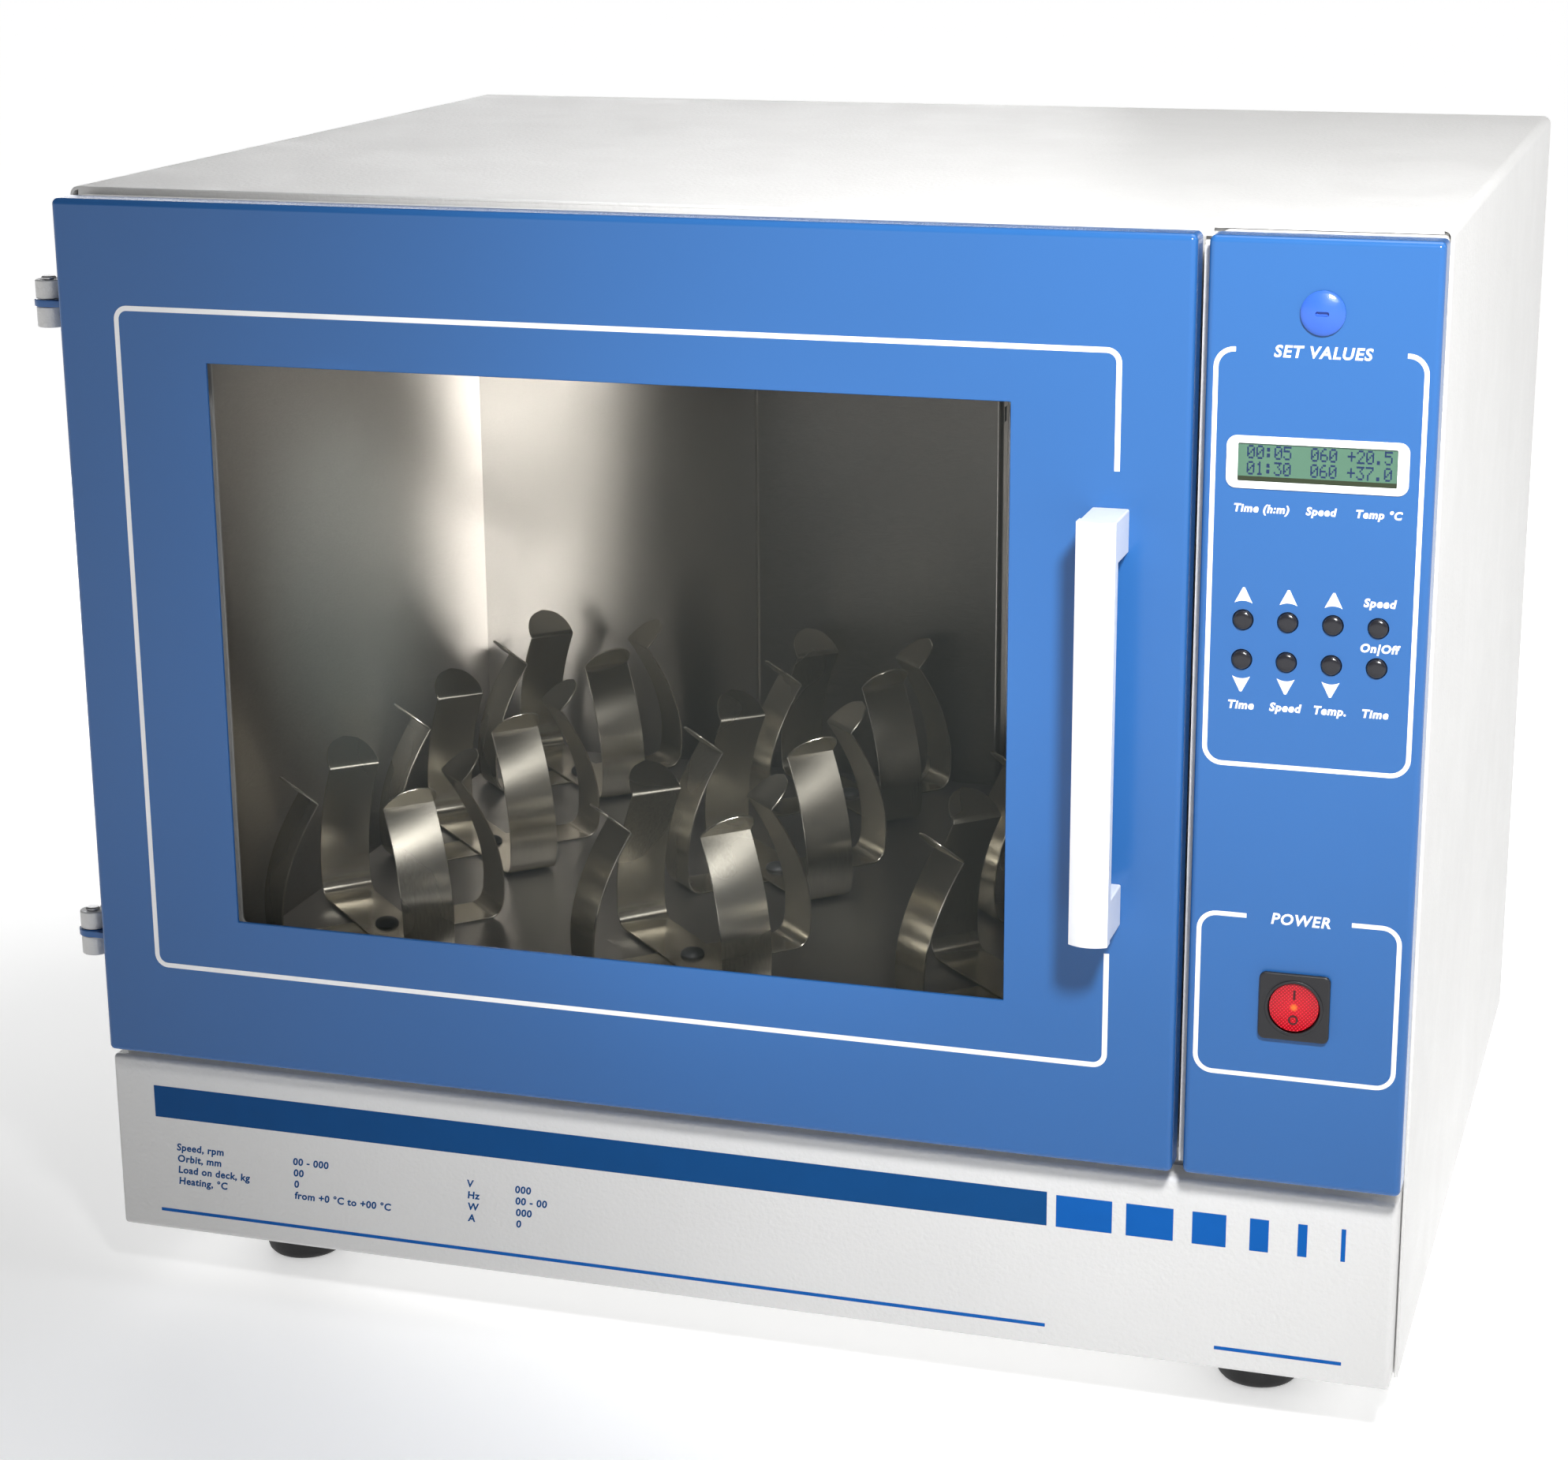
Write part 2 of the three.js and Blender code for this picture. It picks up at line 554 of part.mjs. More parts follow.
function driveBelt() {
  const inside = GAP;
  const outside = GAP + BELT.thickness;
  const loop = beltOutline(new THREE.Shape(), PULLEY_RADIUS + outside, MOTOR_PULLEY_RADIUS + outside);
  loop.holes.push(beltOutline(new THREE.Path(), PULLEY_RADIUS + inside, MOTOR_PULLEY_RADIUS + inside));
  part('drive_belt', alongZ(loop, BELT.z0, BELT.z1, 12), FINISH.rubber());
}

function pulley(x, y, radius, sides) {
  return join([
    rodZ(x, y, BELT.z0 - 2, BELT.z1 + 2, radius, sides),
    rodZ(x, y, BELT.z0 - 3.5, BELT.z0 - 1, radius + 3, sides),
    rodZ(x, y, BELT.z1 + 1, BELT.z1 + 3.5, radius + 3, sides),
  ]);
}

function driveCrank() {
  const { z0, z1 } = CRANK_DISC;
  const { x, y } = CRANK;
  const away = REST_PHASE + Math.PI;
  const weight = new THREE.Shape();
  weight.moveTo(x, y);
  weight.lineTo(x + 58 * Math.cos(away - 0.8), y + 58 * Math.sin(away - 0.8));
  weight.absarc(x, y, 58, away - 0.8, away + 0.8);
  part('drive_crank', join([
    pulley(x, y, PULLEY_RADIUS, 28),
    rodZ(x, y, 32, z0 + 1, SHAFT_RADIUS),
    rodZ(x, y, z0, z1, 24),
    alongZ(weight, z0, z1, 4),
    rodZ(x + ORBIT.x, y + ORBIT.y, z1 - 1, PIN_TOP, 6, 12),
  ]), FINISH.steel());
}

function idlerCranks() {
  const { z0, z1 } = CRANK_DISC;
  for (const idler of IDLERS) {
    const x = CRANK.x + idler.x;
    const y = CRANK.y + idler.y;
    part(idler.name, join([
      rodZ(x, y, 46, z0 + 1, IDLER_RADIUS, 10),
      rodZ(x, y, z0, z1, 18),
      rodZ(x + ORBIT.x, y + ORBIT.y, z1 - 1, PIN_TOP, 4, 10),
    ]), FINISH.steel());
  }
}

function motorPulley() {
  part('motor_pulley', join([
    pulley(MOTOR.x, MOTOR.y, MOTOR_PULLEY_RADIUS, 16),
    rodZ(MOTOR.x, MOTOR.y, 32, MOTOR.z0 + 16, 4, 8),
  ]), FINISH.darkSteel());
}

function fanImpeller() {
  const blades = [];
  for (let index = 0; index < 10; index += 1) {
    const blade = new THREE.BoxGeometry(26, 6, 1.2);
    blade.translate(27, CHAMBER.y1 - 6.5, 0);
    blade.rotateY((index * 2 * Math.PI) / 10);
    blade.translate(FAN.x, 0, FAN.z);
    blades.push(solid(blade));
  }
  part('fan_impeller', join([
    rodY(FAN.x, FAN.z, CHAMBER.y1 - 4, CHAMBER.y1 - 2, FAN.radius, 24),
    rodY(FAN.x, FAN.z, CHAMBER.y1 - 9.5, CHAMBER.y1 - 3, 15, 16),
    rodY(FAN.x, FAN.z, CHAMBER.y1 - 3, INSULATION.y1 + 12, 3, 12),
    ...blades,
  ]), FINISH.aluminium());
}

// ---------- platform ----------
function platformCarrier() {
  const { x, y } = PLATFORM;
  const top = TRAY.top - TRAY.sheet - GAP;
  const plate = box(x - 170, x + 170, y - 125, y + 145, top - 5, top);
  const hubs = IDLERS.map((idler) => rodZ(x + idler.x, y + idler.y, CRANK_DISC.z1 + 1, top, 14, 12));
  const windows = [[-150, -30, 10, 125], [30, 150, 10, 125], [-100, -35, -110, -20], [35, 100, -110, -20]];
  part('platform_carrier', cut(join([
    plate,
    rodZ(x, y, CRANK_DISC.z1 + 1, top, 20),
    ...hubs,
  ]), [
    rodZ(x, y, 120, 170, 6.5, 12),
    ...IDLERS.map((idler) => rodZ(x + idler.x, y + idler.y, 120, 170, 4.8, 10)),
    ...windows.map(([x0, x1, y0, y1]) => box(x + x0, x + x1, y + y0, y + y1, 120, 170)),
  ]), FINISH.aluminium());
}

function platformTray() {
  const { x, y } = PLATFORM;
  const { width, depth, top, sheet, fold } = TRAY;
  const outline = (inset) => rectangle(
    x - width / 2 + inset, x + width / 2 - inset, y - depth / 2 + inset, y + depth / 2 - inset, 6 - inset);
  part('platform_tray', cut(alongZ(outline(0), top - fold, top), [
    alongZ(outline(sheet), top - fold - 1, top - sheet),
  ]), FINISH.steel());
}

// One finger of a clamp, seen from the side: radius from the clamp's axis, and height.
function fingerOutline() {
  const middle = new THREE.CurvePath();
  const at = (radius, height) => new THREE.Vector2(radius, height);
  middle.add(new THREE.QuadraticBezierCurve(at(47, 0), at(54.5, 0), at(55, 9)));
  middle.add(new THREE.QuadraticBezierCurve(at(55, 9), at(58, 36), at(35.5, 69)));
  const centre = [at(14, 0), ...middle.curves[0].getPoints(2), ...middle.curves[1].getPoints(4).slice(1)];
  const side = (sign) => centre.map((point, index) => {
    const before = centre[Math.max(index - 1, 0)];
    const after = centre[Math.min(index + 1, centre.length - 1)];
    const along = after.clone().sub(before).normalize();
    return at(point.x - sign * along.y * CLAMP_SHEET / 2, point.y + sign * along.x * CLAMP_SHEET / 2);
  });
  return new THREE.Shape([...side(-1), ...side(1).reverse()]);
}

function clampFinger() {
  const strip = new THREE.ExtrudeGeometry(fingerOutline(), { depth: FINGER_WIDTH, bevelEnabled: false });
  strip.translate(0, CLAMP_SHEET / 2, -FINGER_WIDTH / 2);
  strip.rotateX(Math.PI / 2);
  const tip = new THREE.Shape();
  tip.moveTo(-0.8, FINGER_WIDTH / 2);
  tip.lineTo(-0.8, -FINGER_WIDTH / 2);
  tip.lineTo(2, -FINGER_WIDTH / 2);
  tip.bezierCurveTo(10, -FINGER_WIDTH / 2.6, 17, -6, 17, 0);
  tip.bezierCurveTo(17, 6, 10, FINGER_WIDTH / 2.6, 2, FINGER_WIDTH / 2);
  const lip = new THREE.ExtrudeGeometry(tip, { depth: CLAMP_SHEET, bevelEnabled: false, curveSegments: 2 });
  lip.translate(0, 0, -CLAMP_SHEET / 2);
  lip.rotateY(-0.7);
  lip.translate(35.5, 0, 69.5);
  return solid(strip).add(solid(lip));
}

function flaskClamps() {
  const finger = clampFinger();
  const fingers = [45, 135, 225, 315].map((angle) => finger.rotate([0, 0, angle]));
  const base = rodZ(0, 0, 0, CLAMP_SHEET, 24, 8);
  const screwHole = rodZ(0, 0, -1, 3, 2.2, 6);
  const clamp = cut(join([base, ...fingers]), [screwHole]);
  let number = 1;
  for (const row of [-1, 0, 1]) {
    for (const column of [-1, 0, 1]) {
      const x = PLATFORM.x + column * CLAMP_PITCH.x;
      const y = PLATFORM.y + row * CLAMP_PITCH.y;
      part(`flask_clamp_${number}`, clamp.translate([x, y, FLASK_BASE - CLAMP_SHEET]), FINISH.steel());
      number += 1;
    }
  }
}

outerCasing();
basePan();
rearPanel();
lowerFrontPanel();
frontFrame();
chamberLiner();
insulationJacket();
fanDuctCover();
heaterRing();
fanMotor();
controlPanelCover();
blankingCap();
lcdModule();
controlBoard();
powerSwitchHousing();
powerRocker();
buttons();
powerSupply();
powerInlet();
feet();
hinge('upper', HINGE.heights[0]);
hinge('lower', HINGE.heights[1]);
doorGasket();
doorShell();
doorInnerPan();
doorGlass();
doorHandle();
driveChassis();
driveMotor();
driveBelt();
driveCrank();
idlerCranks();
motorPulley();
fanImpeller();
platformCarrier();
platformTray();
flaskClamps();

// The middle of the object's box goes to the origin, with the feet on z = 0.
object.updateMatrixWorld(true);
const bounds = new THREE.Box3().setFromObject(object);
object.position.set(-(bounds.min.x + bounds.max.x) / 2, -(bounds.min.y + bounds.max.y) / 2, 0);

export default object;
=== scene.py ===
"""The looks of the orbital shaker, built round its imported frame."""

import math

import bpy
from mathutils import Matrix, Vector


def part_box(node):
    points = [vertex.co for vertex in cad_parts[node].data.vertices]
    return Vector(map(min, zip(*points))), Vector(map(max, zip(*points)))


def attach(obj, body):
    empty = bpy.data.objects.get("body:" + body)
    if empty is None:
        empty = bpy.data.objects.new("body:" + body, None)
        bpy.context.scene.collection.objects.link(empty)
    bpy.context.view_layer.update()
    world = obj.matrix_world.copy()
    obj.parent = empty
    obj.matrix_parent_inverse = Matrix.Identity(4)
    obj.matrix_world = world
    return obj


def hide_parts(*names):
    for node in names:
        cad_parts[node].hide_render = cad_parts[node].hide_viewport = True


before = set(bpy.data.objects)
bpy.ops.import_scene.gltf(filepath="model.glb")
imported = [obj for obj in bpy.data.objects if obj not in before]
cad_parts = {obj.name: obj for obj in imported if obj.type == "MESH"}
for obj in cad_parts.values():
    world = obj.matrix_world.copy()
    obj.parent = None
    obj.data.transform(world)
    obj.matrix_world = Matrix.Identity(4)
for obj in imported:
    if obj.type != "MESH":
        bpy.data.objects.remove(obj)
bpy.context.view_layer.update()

MM = 0.001


class Span:
    """A box in the row frame, in millimetres."""

    def __init__(self, x0, x1, y0, y1, z0, z1):
        self.x0, self.x1, self.y0, self.y1, self.z0, self.z1 = x0, x1, y0, y1, z0, z1
        self.x, self.y, self.z = (x0 + x1) / 2, (y0 + y1) / 2, (z0 + z1) / 2

    def grown(self, by):
        return Span(self.x0 - by, self.x1 + by, self.y0, self.y1, self.z0 - by, self.z1 + by)


def span(node):
    low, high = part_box(node)
    return Span(*(value / MM for pair in zip(low, high) for value in pair))


CASE = span("outer_casing")
PAN = span("door_inner_pan")
DOOR = PAN.grown(1)
PANEL = span("control_panel_cover")
LOWER = span("lower_front_panel")
WINDOW = span("outer_glass").grown(-18)
HANDLE = span("door_handle")
TRAY = span("platform_tray")
FRONT = PANEL.y0
FLANGE_BACK = PANEL.y1
SHEET = 1.5
HINGE_TAB_RISE = 14
CORNER_STEPS = 8


# ---------- materials ----------
class Surface:
    """A node material being built."""

    def __init__(self, name, colour, roughness, metallic=0.0, **sockets):
        self.material = bpy.data.materials.new(name)
        self.material.use_nodes = True
        self.nodes = self.material.node_tree.nodes
        self.links = self.material.node_tree.links
        self.shader = self.nodes["Principled BSDF"]
        self.set("Base Color", (*colour, 1))
        self.set("Roughness", roughness)
        self.set("Metallic", metallic)
        for socket, value in sockets.items():
            self.set(socket.replace("_", " "), value)
        self.place = self.nodes.new("ShaderNodeTexCoord").outputs["Object"]

    def set(self, socket, value):
        self.shader.inputs[socket].default_value = value

    def noise(self, scale, detail=3.0, stretch=(1, 1, 1)):
        mapping = self.nodes.new("ShaderNodeMapping")
        mapping.inputs["Scale"].default_value = stretch
        self.links.new(self.place, mapping.inputs["Vector"])
        texture = self.nodes.new("ShaderNodeTexNoise")
        texture.inputs["Scale"].default_value = scale
        texture.inputs["Detail"].default_value = detail
        self.links.new(mapping.outputs["Vector"], texture.inputs["Vector"])
        return texture.outputs["Fac"]

    def ranged(self, value, low, high, floor=0.25, ceiling=0.75):
        """The value, from floor to ceiling, spread over low to high."""
        node = self.nodes.new("ShaderNodeMapRange")
        node.inputs["From Min"].default_value = floor
        node.inputs["From Max"].default_value = ceiling
        node.inputs["To Min"].default_value = low
        node.inputs["To Max"].default_value = high
        self.links.new(value, node.inputs["Value"])
        return node.outputs["Result"]

    def vary_roughness(self, value, low, high):
        self.links.new(self.ranged(value, low, high), self.shader.inputs["Roughness"])

    def vary_colour(self, value, dark, light):
        mix = self.nodes.new("ShaderNodeMix")
        mix.data_type = "RGBA"
        mix.inputs["A"].default_value = (*dark, 1)
        mix.inputs["B"].default_value = (*light, 1)
        self.links.new(self.ranged(value, 0, 1), mix.inputs["Factor"])
        self.links.new(mix.outputs["Result"], self.shader.inputs["Base Color"])

    def bump(self, value, height, strength=1.0):
        node = self.nodes.new("ShaderNodeBump")
        node.inputs["Distance"].default_value = height
        node.inputs["Strength"].default_value = strength
        self.links.new(value, node.inputs["Height"])
        self.links.new(node.outputs["Normal"], self.shader.inputs["Normal"])


def tinted(colour, by):
    return tuple(max(0.0, min(1.0, value * by)) for value in colour)


def powder_paint(name, colour, roughness, grain, height, spread=0.05):
    """Baked powder paint: a fine orange peel with a little cloudiness."""
    surface = Surface(name, colour, roughness)
    surface.vary_colour(surface.noise(7), tinted(colour, 0.965), tinted(colour, 1.03))
    surface.vary_roughness(surface.noise(40), roughness - spread, roughness + spread)
    surface.bump(surface.noise(grain, 2), height)
    return surface.material


def brushed_metal(name, colour, roughness, stretch, smear=0.0, turn=0.0, depth=0.000012):
    """Brushed metal: fine grain, highlights smeared across the brushing, faint handling marks."""
    surface = Surface(name, colour, roughness, 1.0, Anisotropic=smear, Anisotropic_Rotation=turn)
    grain = surface.noise(1300, 3, stretch)
    surface.vary_roughness(surface.noise(9), roughness - 0.04, roughness + 0.05)
    surface.vary_colour(grain, tinted(colour, 0.84), tinted(colour, 1.12))
    surface.bump(grain, depth)
    return surface.material


def plastic(name, colour, roughness, grain=1400, height=0.00003, **sockets):
    surface = Surface(name, colour, roughness, **sockets)
    surface.vary_colour(surface.noise(60), tinted(colour, 0.96), tinted(colour, 1.04))
    surface.vary_roughness(surface.noise(220), roughness - 0.05, roughness + 0.06)
    surface.bump(surface.noise(grain, 2), height)
    return surface.material


def glass(name):
    """Clear float glass: almost nothing of its own shows but a faint tint and its gloss."""
    surface = Surface(name, (0.02, 0.026, 0.024), 0.03, 0.0, Alpha=0.09)
    surface.vary_colour(surface.noise(4), (0.016, 0.02, 0.019), (0.026, 0.032, 0.03))
    surface.material.blend_method = "BLEND"
    return surface.material


def lens_red(name, x, z):
    """The lit red lens of the power switch: a diagonal grid of prisms, brightest at the lamp behind."""
    prism_scale, prism_depth, glow_reach = 300, 0.0001, 0.012
    surface = Surface(name, (0.6, 0.005, 0.012), 0.07)
    rows = []
    for turn in (45, -45):
        mapping = surface.nodes.new("ShaderNodeMapping")
        mapping.inputs["Rotation"].default_value = (0, math.radians(turn), 0)
        surface.links.new(surface.place, mapping.inputs["Vector"])
        wave = surface.nodes.new("ShaderNodeTexWave")
        wave.bands_direction = "X"
        wave.inputs["Scale"].default_value = prism_scale
        surface.links.new(mapping.outputs["Vector"], wave.inputs["Vector"])
        rows.append(wave.outputs["Fac"])
    grid = surface.nodes.new("ShaderNodeMath")
    grid.operation = "MULTIPLY"
    for socket, row in zip(grid.inputs, rows):
        surface.links.new(row, socket)
    surface.bump(grid.outputs["Value"], prism_depth, 0.6)
    surface.vary_colour(grid.outputs["Value"], (0.24, 0.0, 0.004), (0.7, 0.012, 0.035))
    lamp = surface.nodes.new("ShaderNodeVectorMath")
    lamp.operation = "DISTANCE"
    lamp.inputs[1].default_value = (x * MM, FRONT * MM, z * MM)
    surface.links.new(surface.place, lamp.inputs[0])
    glow = surface.nodes.new("ShaderNodeValToRGB")
    stops = glow.color_ramp.elements
    stops[0].position, stops[0].color = 0.0, (1.0, 0.7, 0.04, 1)
    stops[1].position, stops[1].color = 1.0, (0.02, 0.0, 0.0005, 1)
    stops.new(0.12).color = (0.9, 0.32, 0.008, 1)
    stops.new(0.24).color = (0.14, 0.001, 0.003, 1)
    near = surface.nodes.new("ShaderNodeMapRange")
    near.inputs["From Max"].default_value = glow_reach
    surface.links.new(lamp.outputs["Value"], near.inputs["Value"])
    surface.links.new(near.outputs["Result"], glow.inputs["Fac"])
    surface.links.new(glow.outputs["Color"], surface.shader.inputs["Emission Color"])
    surface.set("Emission Strength", 1.8)
    return surface.material


WHITE = (0.7, 0.695, 0.685)
BLUE = (0.024, 0.115, 0.335)
PAINT = {
    "white": powder_paint("paint_white", WHITE, 0.4, 480, 0.0004),
    "blue": powder_paint("paint_blue", BLUE, 0.22, 1500, 0.000006, 0.02),
    "dark": powder_paint("paint_dark", (0.055, 0.057, 0.06), 0.5, 500, 0.0001),
}
STEEL = {
    "liner": brushed_metal("steel_liner", (0.58, 0.555, 0.52), 0.33, (0.4, 0.4, 1.6), 0.92, 0.25),
    "duct": brushed_metal("steel_duct", (0.4, 0.38, 0.35), 0.36, (0.4, 0.4, 1.6), 0.92, 0.25),
    "deck": brushed_metal("steel_deck", (0.42, 0.41, 0.4), 0.4, (0.4, 1.6, 1)),
    "clamp": brushed_metal("steel_clamp", (0.7, 0.66, 0.56), 0.25, (1, 1, 0.15), 0.85, 0, 0.000016),
    "machined": brushed_metal("steel_machined", (0.55, 0.55, 0.56), 0.3, (1, 1, 1)),
    "alloy": brushed_metal("alloy_cast", (0.72, 0.72, 0.73), 0.42, (1, 1, 1)),
}
# Satin aluminium for the handle; the faint blue in its colour is a painted reflection of the blue door beside
# it.
ALUMINIUM_BLUE_REFLECTION = plastic("aluminium_satin_blue_reflection", (0.8, 0.81, 0.84), 0.34, 900, 0.00001, Metallic=0.15)
RUBBER = plastic("rubber_black", (0.012, 0.012, 0.013), 0.55, 700, 0.00012)
GASKET = plastic("rubber_gasket", (0.045, 0.045, 0.05), 0.7, 600, 0.0001)
BLACK = plastic("plastic_black", (0.014, 0.014, 0.016), 0.38)
KEY = plastic("plastic_key", (0.016, 0.016, 0.02), 0.2)
CAP_BLUE = plastic("plastic_cap", (0.036, 0.118, 0.5), 0.22)
GLASS = glass("glass_clear")
RED = lens_red("lens_red", span("power_rocker").x, span("power_rocker").z)
LENS_MARK = plastic("lens_mark", (0.05, 0.0, 0.002), 0.3)
PRINT_WHITE = plastic("print_white", (0.9, 0.9, 0.9), 0.45)
PRINT_BLUE = plastic("print_blue", (0.001, 0.062, 0.215), 0.5, Specular_IOR_Level=0.15)
PRINT_BRIGHT = plastic("print_bright_blue", (0.001, 0.1, 0.4), 0.5, Specular_IOR_Level=0.15)
BEZEL = plastic("plastic_white", (0.86, 0.87, 0.87), 0.3)
DISPLAY = plastic("display_green", (0.076, 0.165, 0.11), 0.2, 2400, 0.00001)
SEGMENT = plastic("display_dots", (0.004, 0.02, 0.075), 0.3)
OLIVE = plastic("display_edge", (0.02, 0.03, 0.01), 0.35)
BOARD = plastic("board_green", (0.015, 0.13, 0.05), 0.4)
WOOL = plastic("mineral_wool", (0.5, 0.42, 0.2), 0.95, 160, 0.002)


# ---------- mesh tools ----------
def piece(name, mesh, material, body, replaces=(), angle=32, flat=True):
    """A finished piece: smooth where it curves, sharp at its corners, and riding on its body."""
    mesh.materials.clear()
    mesh.materials.append(material)
    mesh.shade_smooth()
    mesh.set_sharp_from_angle(angle=math.radians(angle))
    made = bpy.data.objects.new(name, mesh)
    bpy.context.scene.collection.objects.link(made)
    if flat:
        normals = made.modifiers.new("even_normals", "WEIGHTED_NORMAL")
        normals.keep_sharp = True
    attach(made, body)
    if replaces:
        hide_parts(*replaces)


AXES = {
    "X": Matrix(((0, 0, 1, 0), (1, 0, 0, 0), (0, 1, 0, 0), (0, 0, 0, 1))),
    "Y": Matrix(((1, 0, 0, 0), (0, 0, -1, 0), (0, 1, 0, 0), (0, 0, 0, 1))),
    "Z": Matrix.Identity(4),
}


def evaluated_mesh(made):
    bpy.context.scene.collection.objects.link(made)
    graph = bpy.context.evaluated_depsgraph_get()
    mesh = bpy.data.meshes.new_from_object(made.evaluated_get(graph))
    bpy.data.objects.remove(made)
    return mesh


def extruded(outlines, low, high, bevel=0.0, axis="Y", steps=3):
    """Closed outlines, in mm, extruded between two places on an axis, with rounded edges.

    An outline inside another is a hole.
    """
    curve = bpy.data.curves.new("outline", "CURVE")
    curve.dimensions = "2D"
    curve.fill_mode = "BOTH"
    for outline in outlines:
        spline = curve.splines.new("POLY")
        spline.points.add(len(outline) - 1)
        for point, (u, v) in zip(spline.points, outline):
            point.co = (u * MM, v * MM, 0, 1)
        spline.use_cyclic_u = True
    curve.extrude = ((high - low) / 2 - bevel) * MM
    curve.bevel_depth = bevel * MM
    curve.bevel_resolution = steps
    curve.offset = -bevel * MM
    mesh = evaluated_mesh(bpy.data.objects.new("outline", curve))
    middle = (low + high) / 2 * MM
    shift = {"X": (middle, 0, 0), "Y": (0, middle, 0), "Z": (0, 0, middle)}[axis]
    mesh.transform(Matrix.Translation(shift) @ AXES[axis])
    return mesh


def lettering(text, x, z, height, y, align="CENTER", bold=0.0, slant=0.0, spacing=1.12):
    """Printed words, as thin raised print on a face towards -Y; height is that of a capital."""
    capital, print_half = 0.72, 0.03
    curve = bpy.data.curves.new("words", "FONT")
    curve.body = text
    curve.size = height / capital * MM
    curve.align_x = align
    curve.offset = bold * MM
    curve.space_character = spacing
    curve.shear = slant
    curve.extrude = print_half * MM
    curve.resolution_u = 3
    mesh = evaluated_mesh(bpy.data.objects.new("words", curve))
    place = Matrix.Translation((x * MM, (y - print_half) * MM, (z - height / 2) * MM))
    mesh.transform(place @ AXES["Y"])
    return mesh


def rectangle(area, radius, steps=5):
    """The corner points of a rounded rectangle in X and Z, anticlockwise from the bottom left."""
    corners = [
        (area.x0 + radius, area.z0 + radius, 180),
        (area.x1 - radius, area.z0 + radius, 270),
        (area.x1 - radius, area.z1 - radius, 0),
        (area.x0 + radius, area.z1 - radius, 90),
    ]
    points = []
    for x, z, start in corners:
        for step in range(steps + 1):
            turn = math.radians(start + 90 * step / steps)
            points.append((x + radius * math.cos(turn), z + radius * math.sin(turn)))
    return points


def circle(x, z, radius, steps=40):
    turns = [2 * math.pi * step / steps for step in range(steps)]
    return [(x + radius * math.cos(turn), z + radius * math.sin(turn)) for turn in turns]


def area(x0, x1, z0, z1):
    return Span(x0, x1, 0, 0, z0, z1)


def band(points, width):
    """The outline of a line of a given width along points, left side out and right side back."""
    sides = ([], [])
    for index, (u, v) in enumerate(points):
        u0, v0 = points[max(index - 1, 0)]
        u1, v1 = points[min(index + 1, len(points) - 1)]
        length = math.hypot(u1 - u0, v1 - v0)
        across = (-(v1 - v0) / length * width / 2, (u1 - u0) / length * width / 2)
        sides[0].append((u + across[0], v + across[1]))
        sides[1].append((u - across[0], v - across[1]))
    return sides[0] + sides[1][::-1]


def from_loops(loops, ring=False):
    """A closed skin over loops of equally many points; an open stack gets a cap at each end."""
    count = len(loops[0])
    points = [Vector(point) * MM for loop in loops for point in loop]
    faces = []
    for index in range(len(loops) if ring else len(loops) - 1):
        here = index * count
        there = (index + 1) % len(loops) * count
        for step in range(count):
            after = (step + 1) % count
            faces.append((here + step, here + after, there + after, there + step))
    if not ring:
        faces.append(tuple(range(count))[::-1])
        faces.append(tuple(range(len(points) - count, len(points))))
    mesh = bpy.data.meshes.new("skin")
    mesh.from_pydata(points, [], faces)
    outward(mesh)
    return mesh


def outward(mesh):
    """Turns the faces out, by the sign of the volume they hold."""
    mesh.calc_loop_triangles()
    volume = 0.0
    for triangle in mesh.loop_triangles:
        a, b, c = (mesh.vertices[index].co for index in triangle.vertices)
        volume += a.dot(b.cross(c))
    if volume < 0:
        mesh.flip_normals()


def folded_pan(outside, front, back, wall, radius, corner, hole=None, hole_corner=0.6, steps=6):
    """A sheet pan: a face at front and edges rolled over to a flange that ends at back.

    A hole makes a window in the face.
    """
    way = 1 if back > front else -1

    def loop(inset, y):
        held = max(corner - inset, 0.2)
        return [(x, y, z) for x, z in rectangle(outside.grown(-inset), held)]

    def window(inset, y):
        return [(x, y, z) for x, z in rectangle(hole.grown(-inset), hole_corner)]

    rolled = []
    for step in range(steps + 1):
        turn = math.pi / 2 * step / steps
        rolled.append(loop(radius * (1 - math.sin(turn)), front + way * radius * (1 - math.cos(turn))))
    flange = [loop(0, back), loop(wall, back)]
    flange += [loop(wall, front + way * (wall + 1)), loop(wall + 1, front + way * wall)]
    if hole is None:
        return from_loops(rolled + flange)
    edge = [window(0, front + way * wall), window(0, front + way * 0.25), window(-0.25, front)]
    return from_loops(rolled + flange + edge, ring=True)


def turned(profile, x, y, z, axis="Z", steps=48):
    """A turned piece; profile is (radius, height) from bottom to top, both ends on the axis."""
    loops = []
    for radius, height in profile[1:-1]:
        turns = [2 * math.pi * step / steps for step in range(steps)]
        loops.append([(radius * math.cos(t), radius * math.sin(t), height) for t in turns])
    mesh = from_loops(loops)
    place = Matrix.Translation(Vector((x, y, z)) * MM)
    turn = {"Z": Matrix.Identity(4), "Y": Matrix.Rotation(math.pi / 2, 4, "X")}[axis]
    mesh.transform(place @ turn)
    return mesh


def joined(meshes):
    """Several meshes as one."""
    whole = bpy.data.meshes.new("whole")
    points, faces = [], []
    for mesh in meshes:
        start = len(points)
        points += [vertex.co.copy() for vertex in mesh.vertices]
        faces += [tuple(start + index for index in face.vertices) for face in mesh.polygons]
    whole.from_pydata(points, [], faces)
    return whole


def cut(mesh, tools):
    """The mesh less the tools, by an exact boolean."""
    made = bpy.data.objects.new("cut", mesh)
    tool = bpy.data.objects.new("tool", joined(tools))
    bpy.context.scene.collection.objects.link(tool)
    modifier = made.modifiers.new("cut", "BOOLEAN")
    modifier.object = tool
    modifier.solver = "EXACT"
    result = evaluated_mesh(made)
    bpy.data.objects.remove(tool)
    return result


def printed(name, outline, y, ink, body="cabinet"):
    """A printed shape, a hair proud of the face at y."""
    mesh = extruded([outline], y - 0.06, y + 0.1)
    piece(name, mesh, ink, body, flat=False)


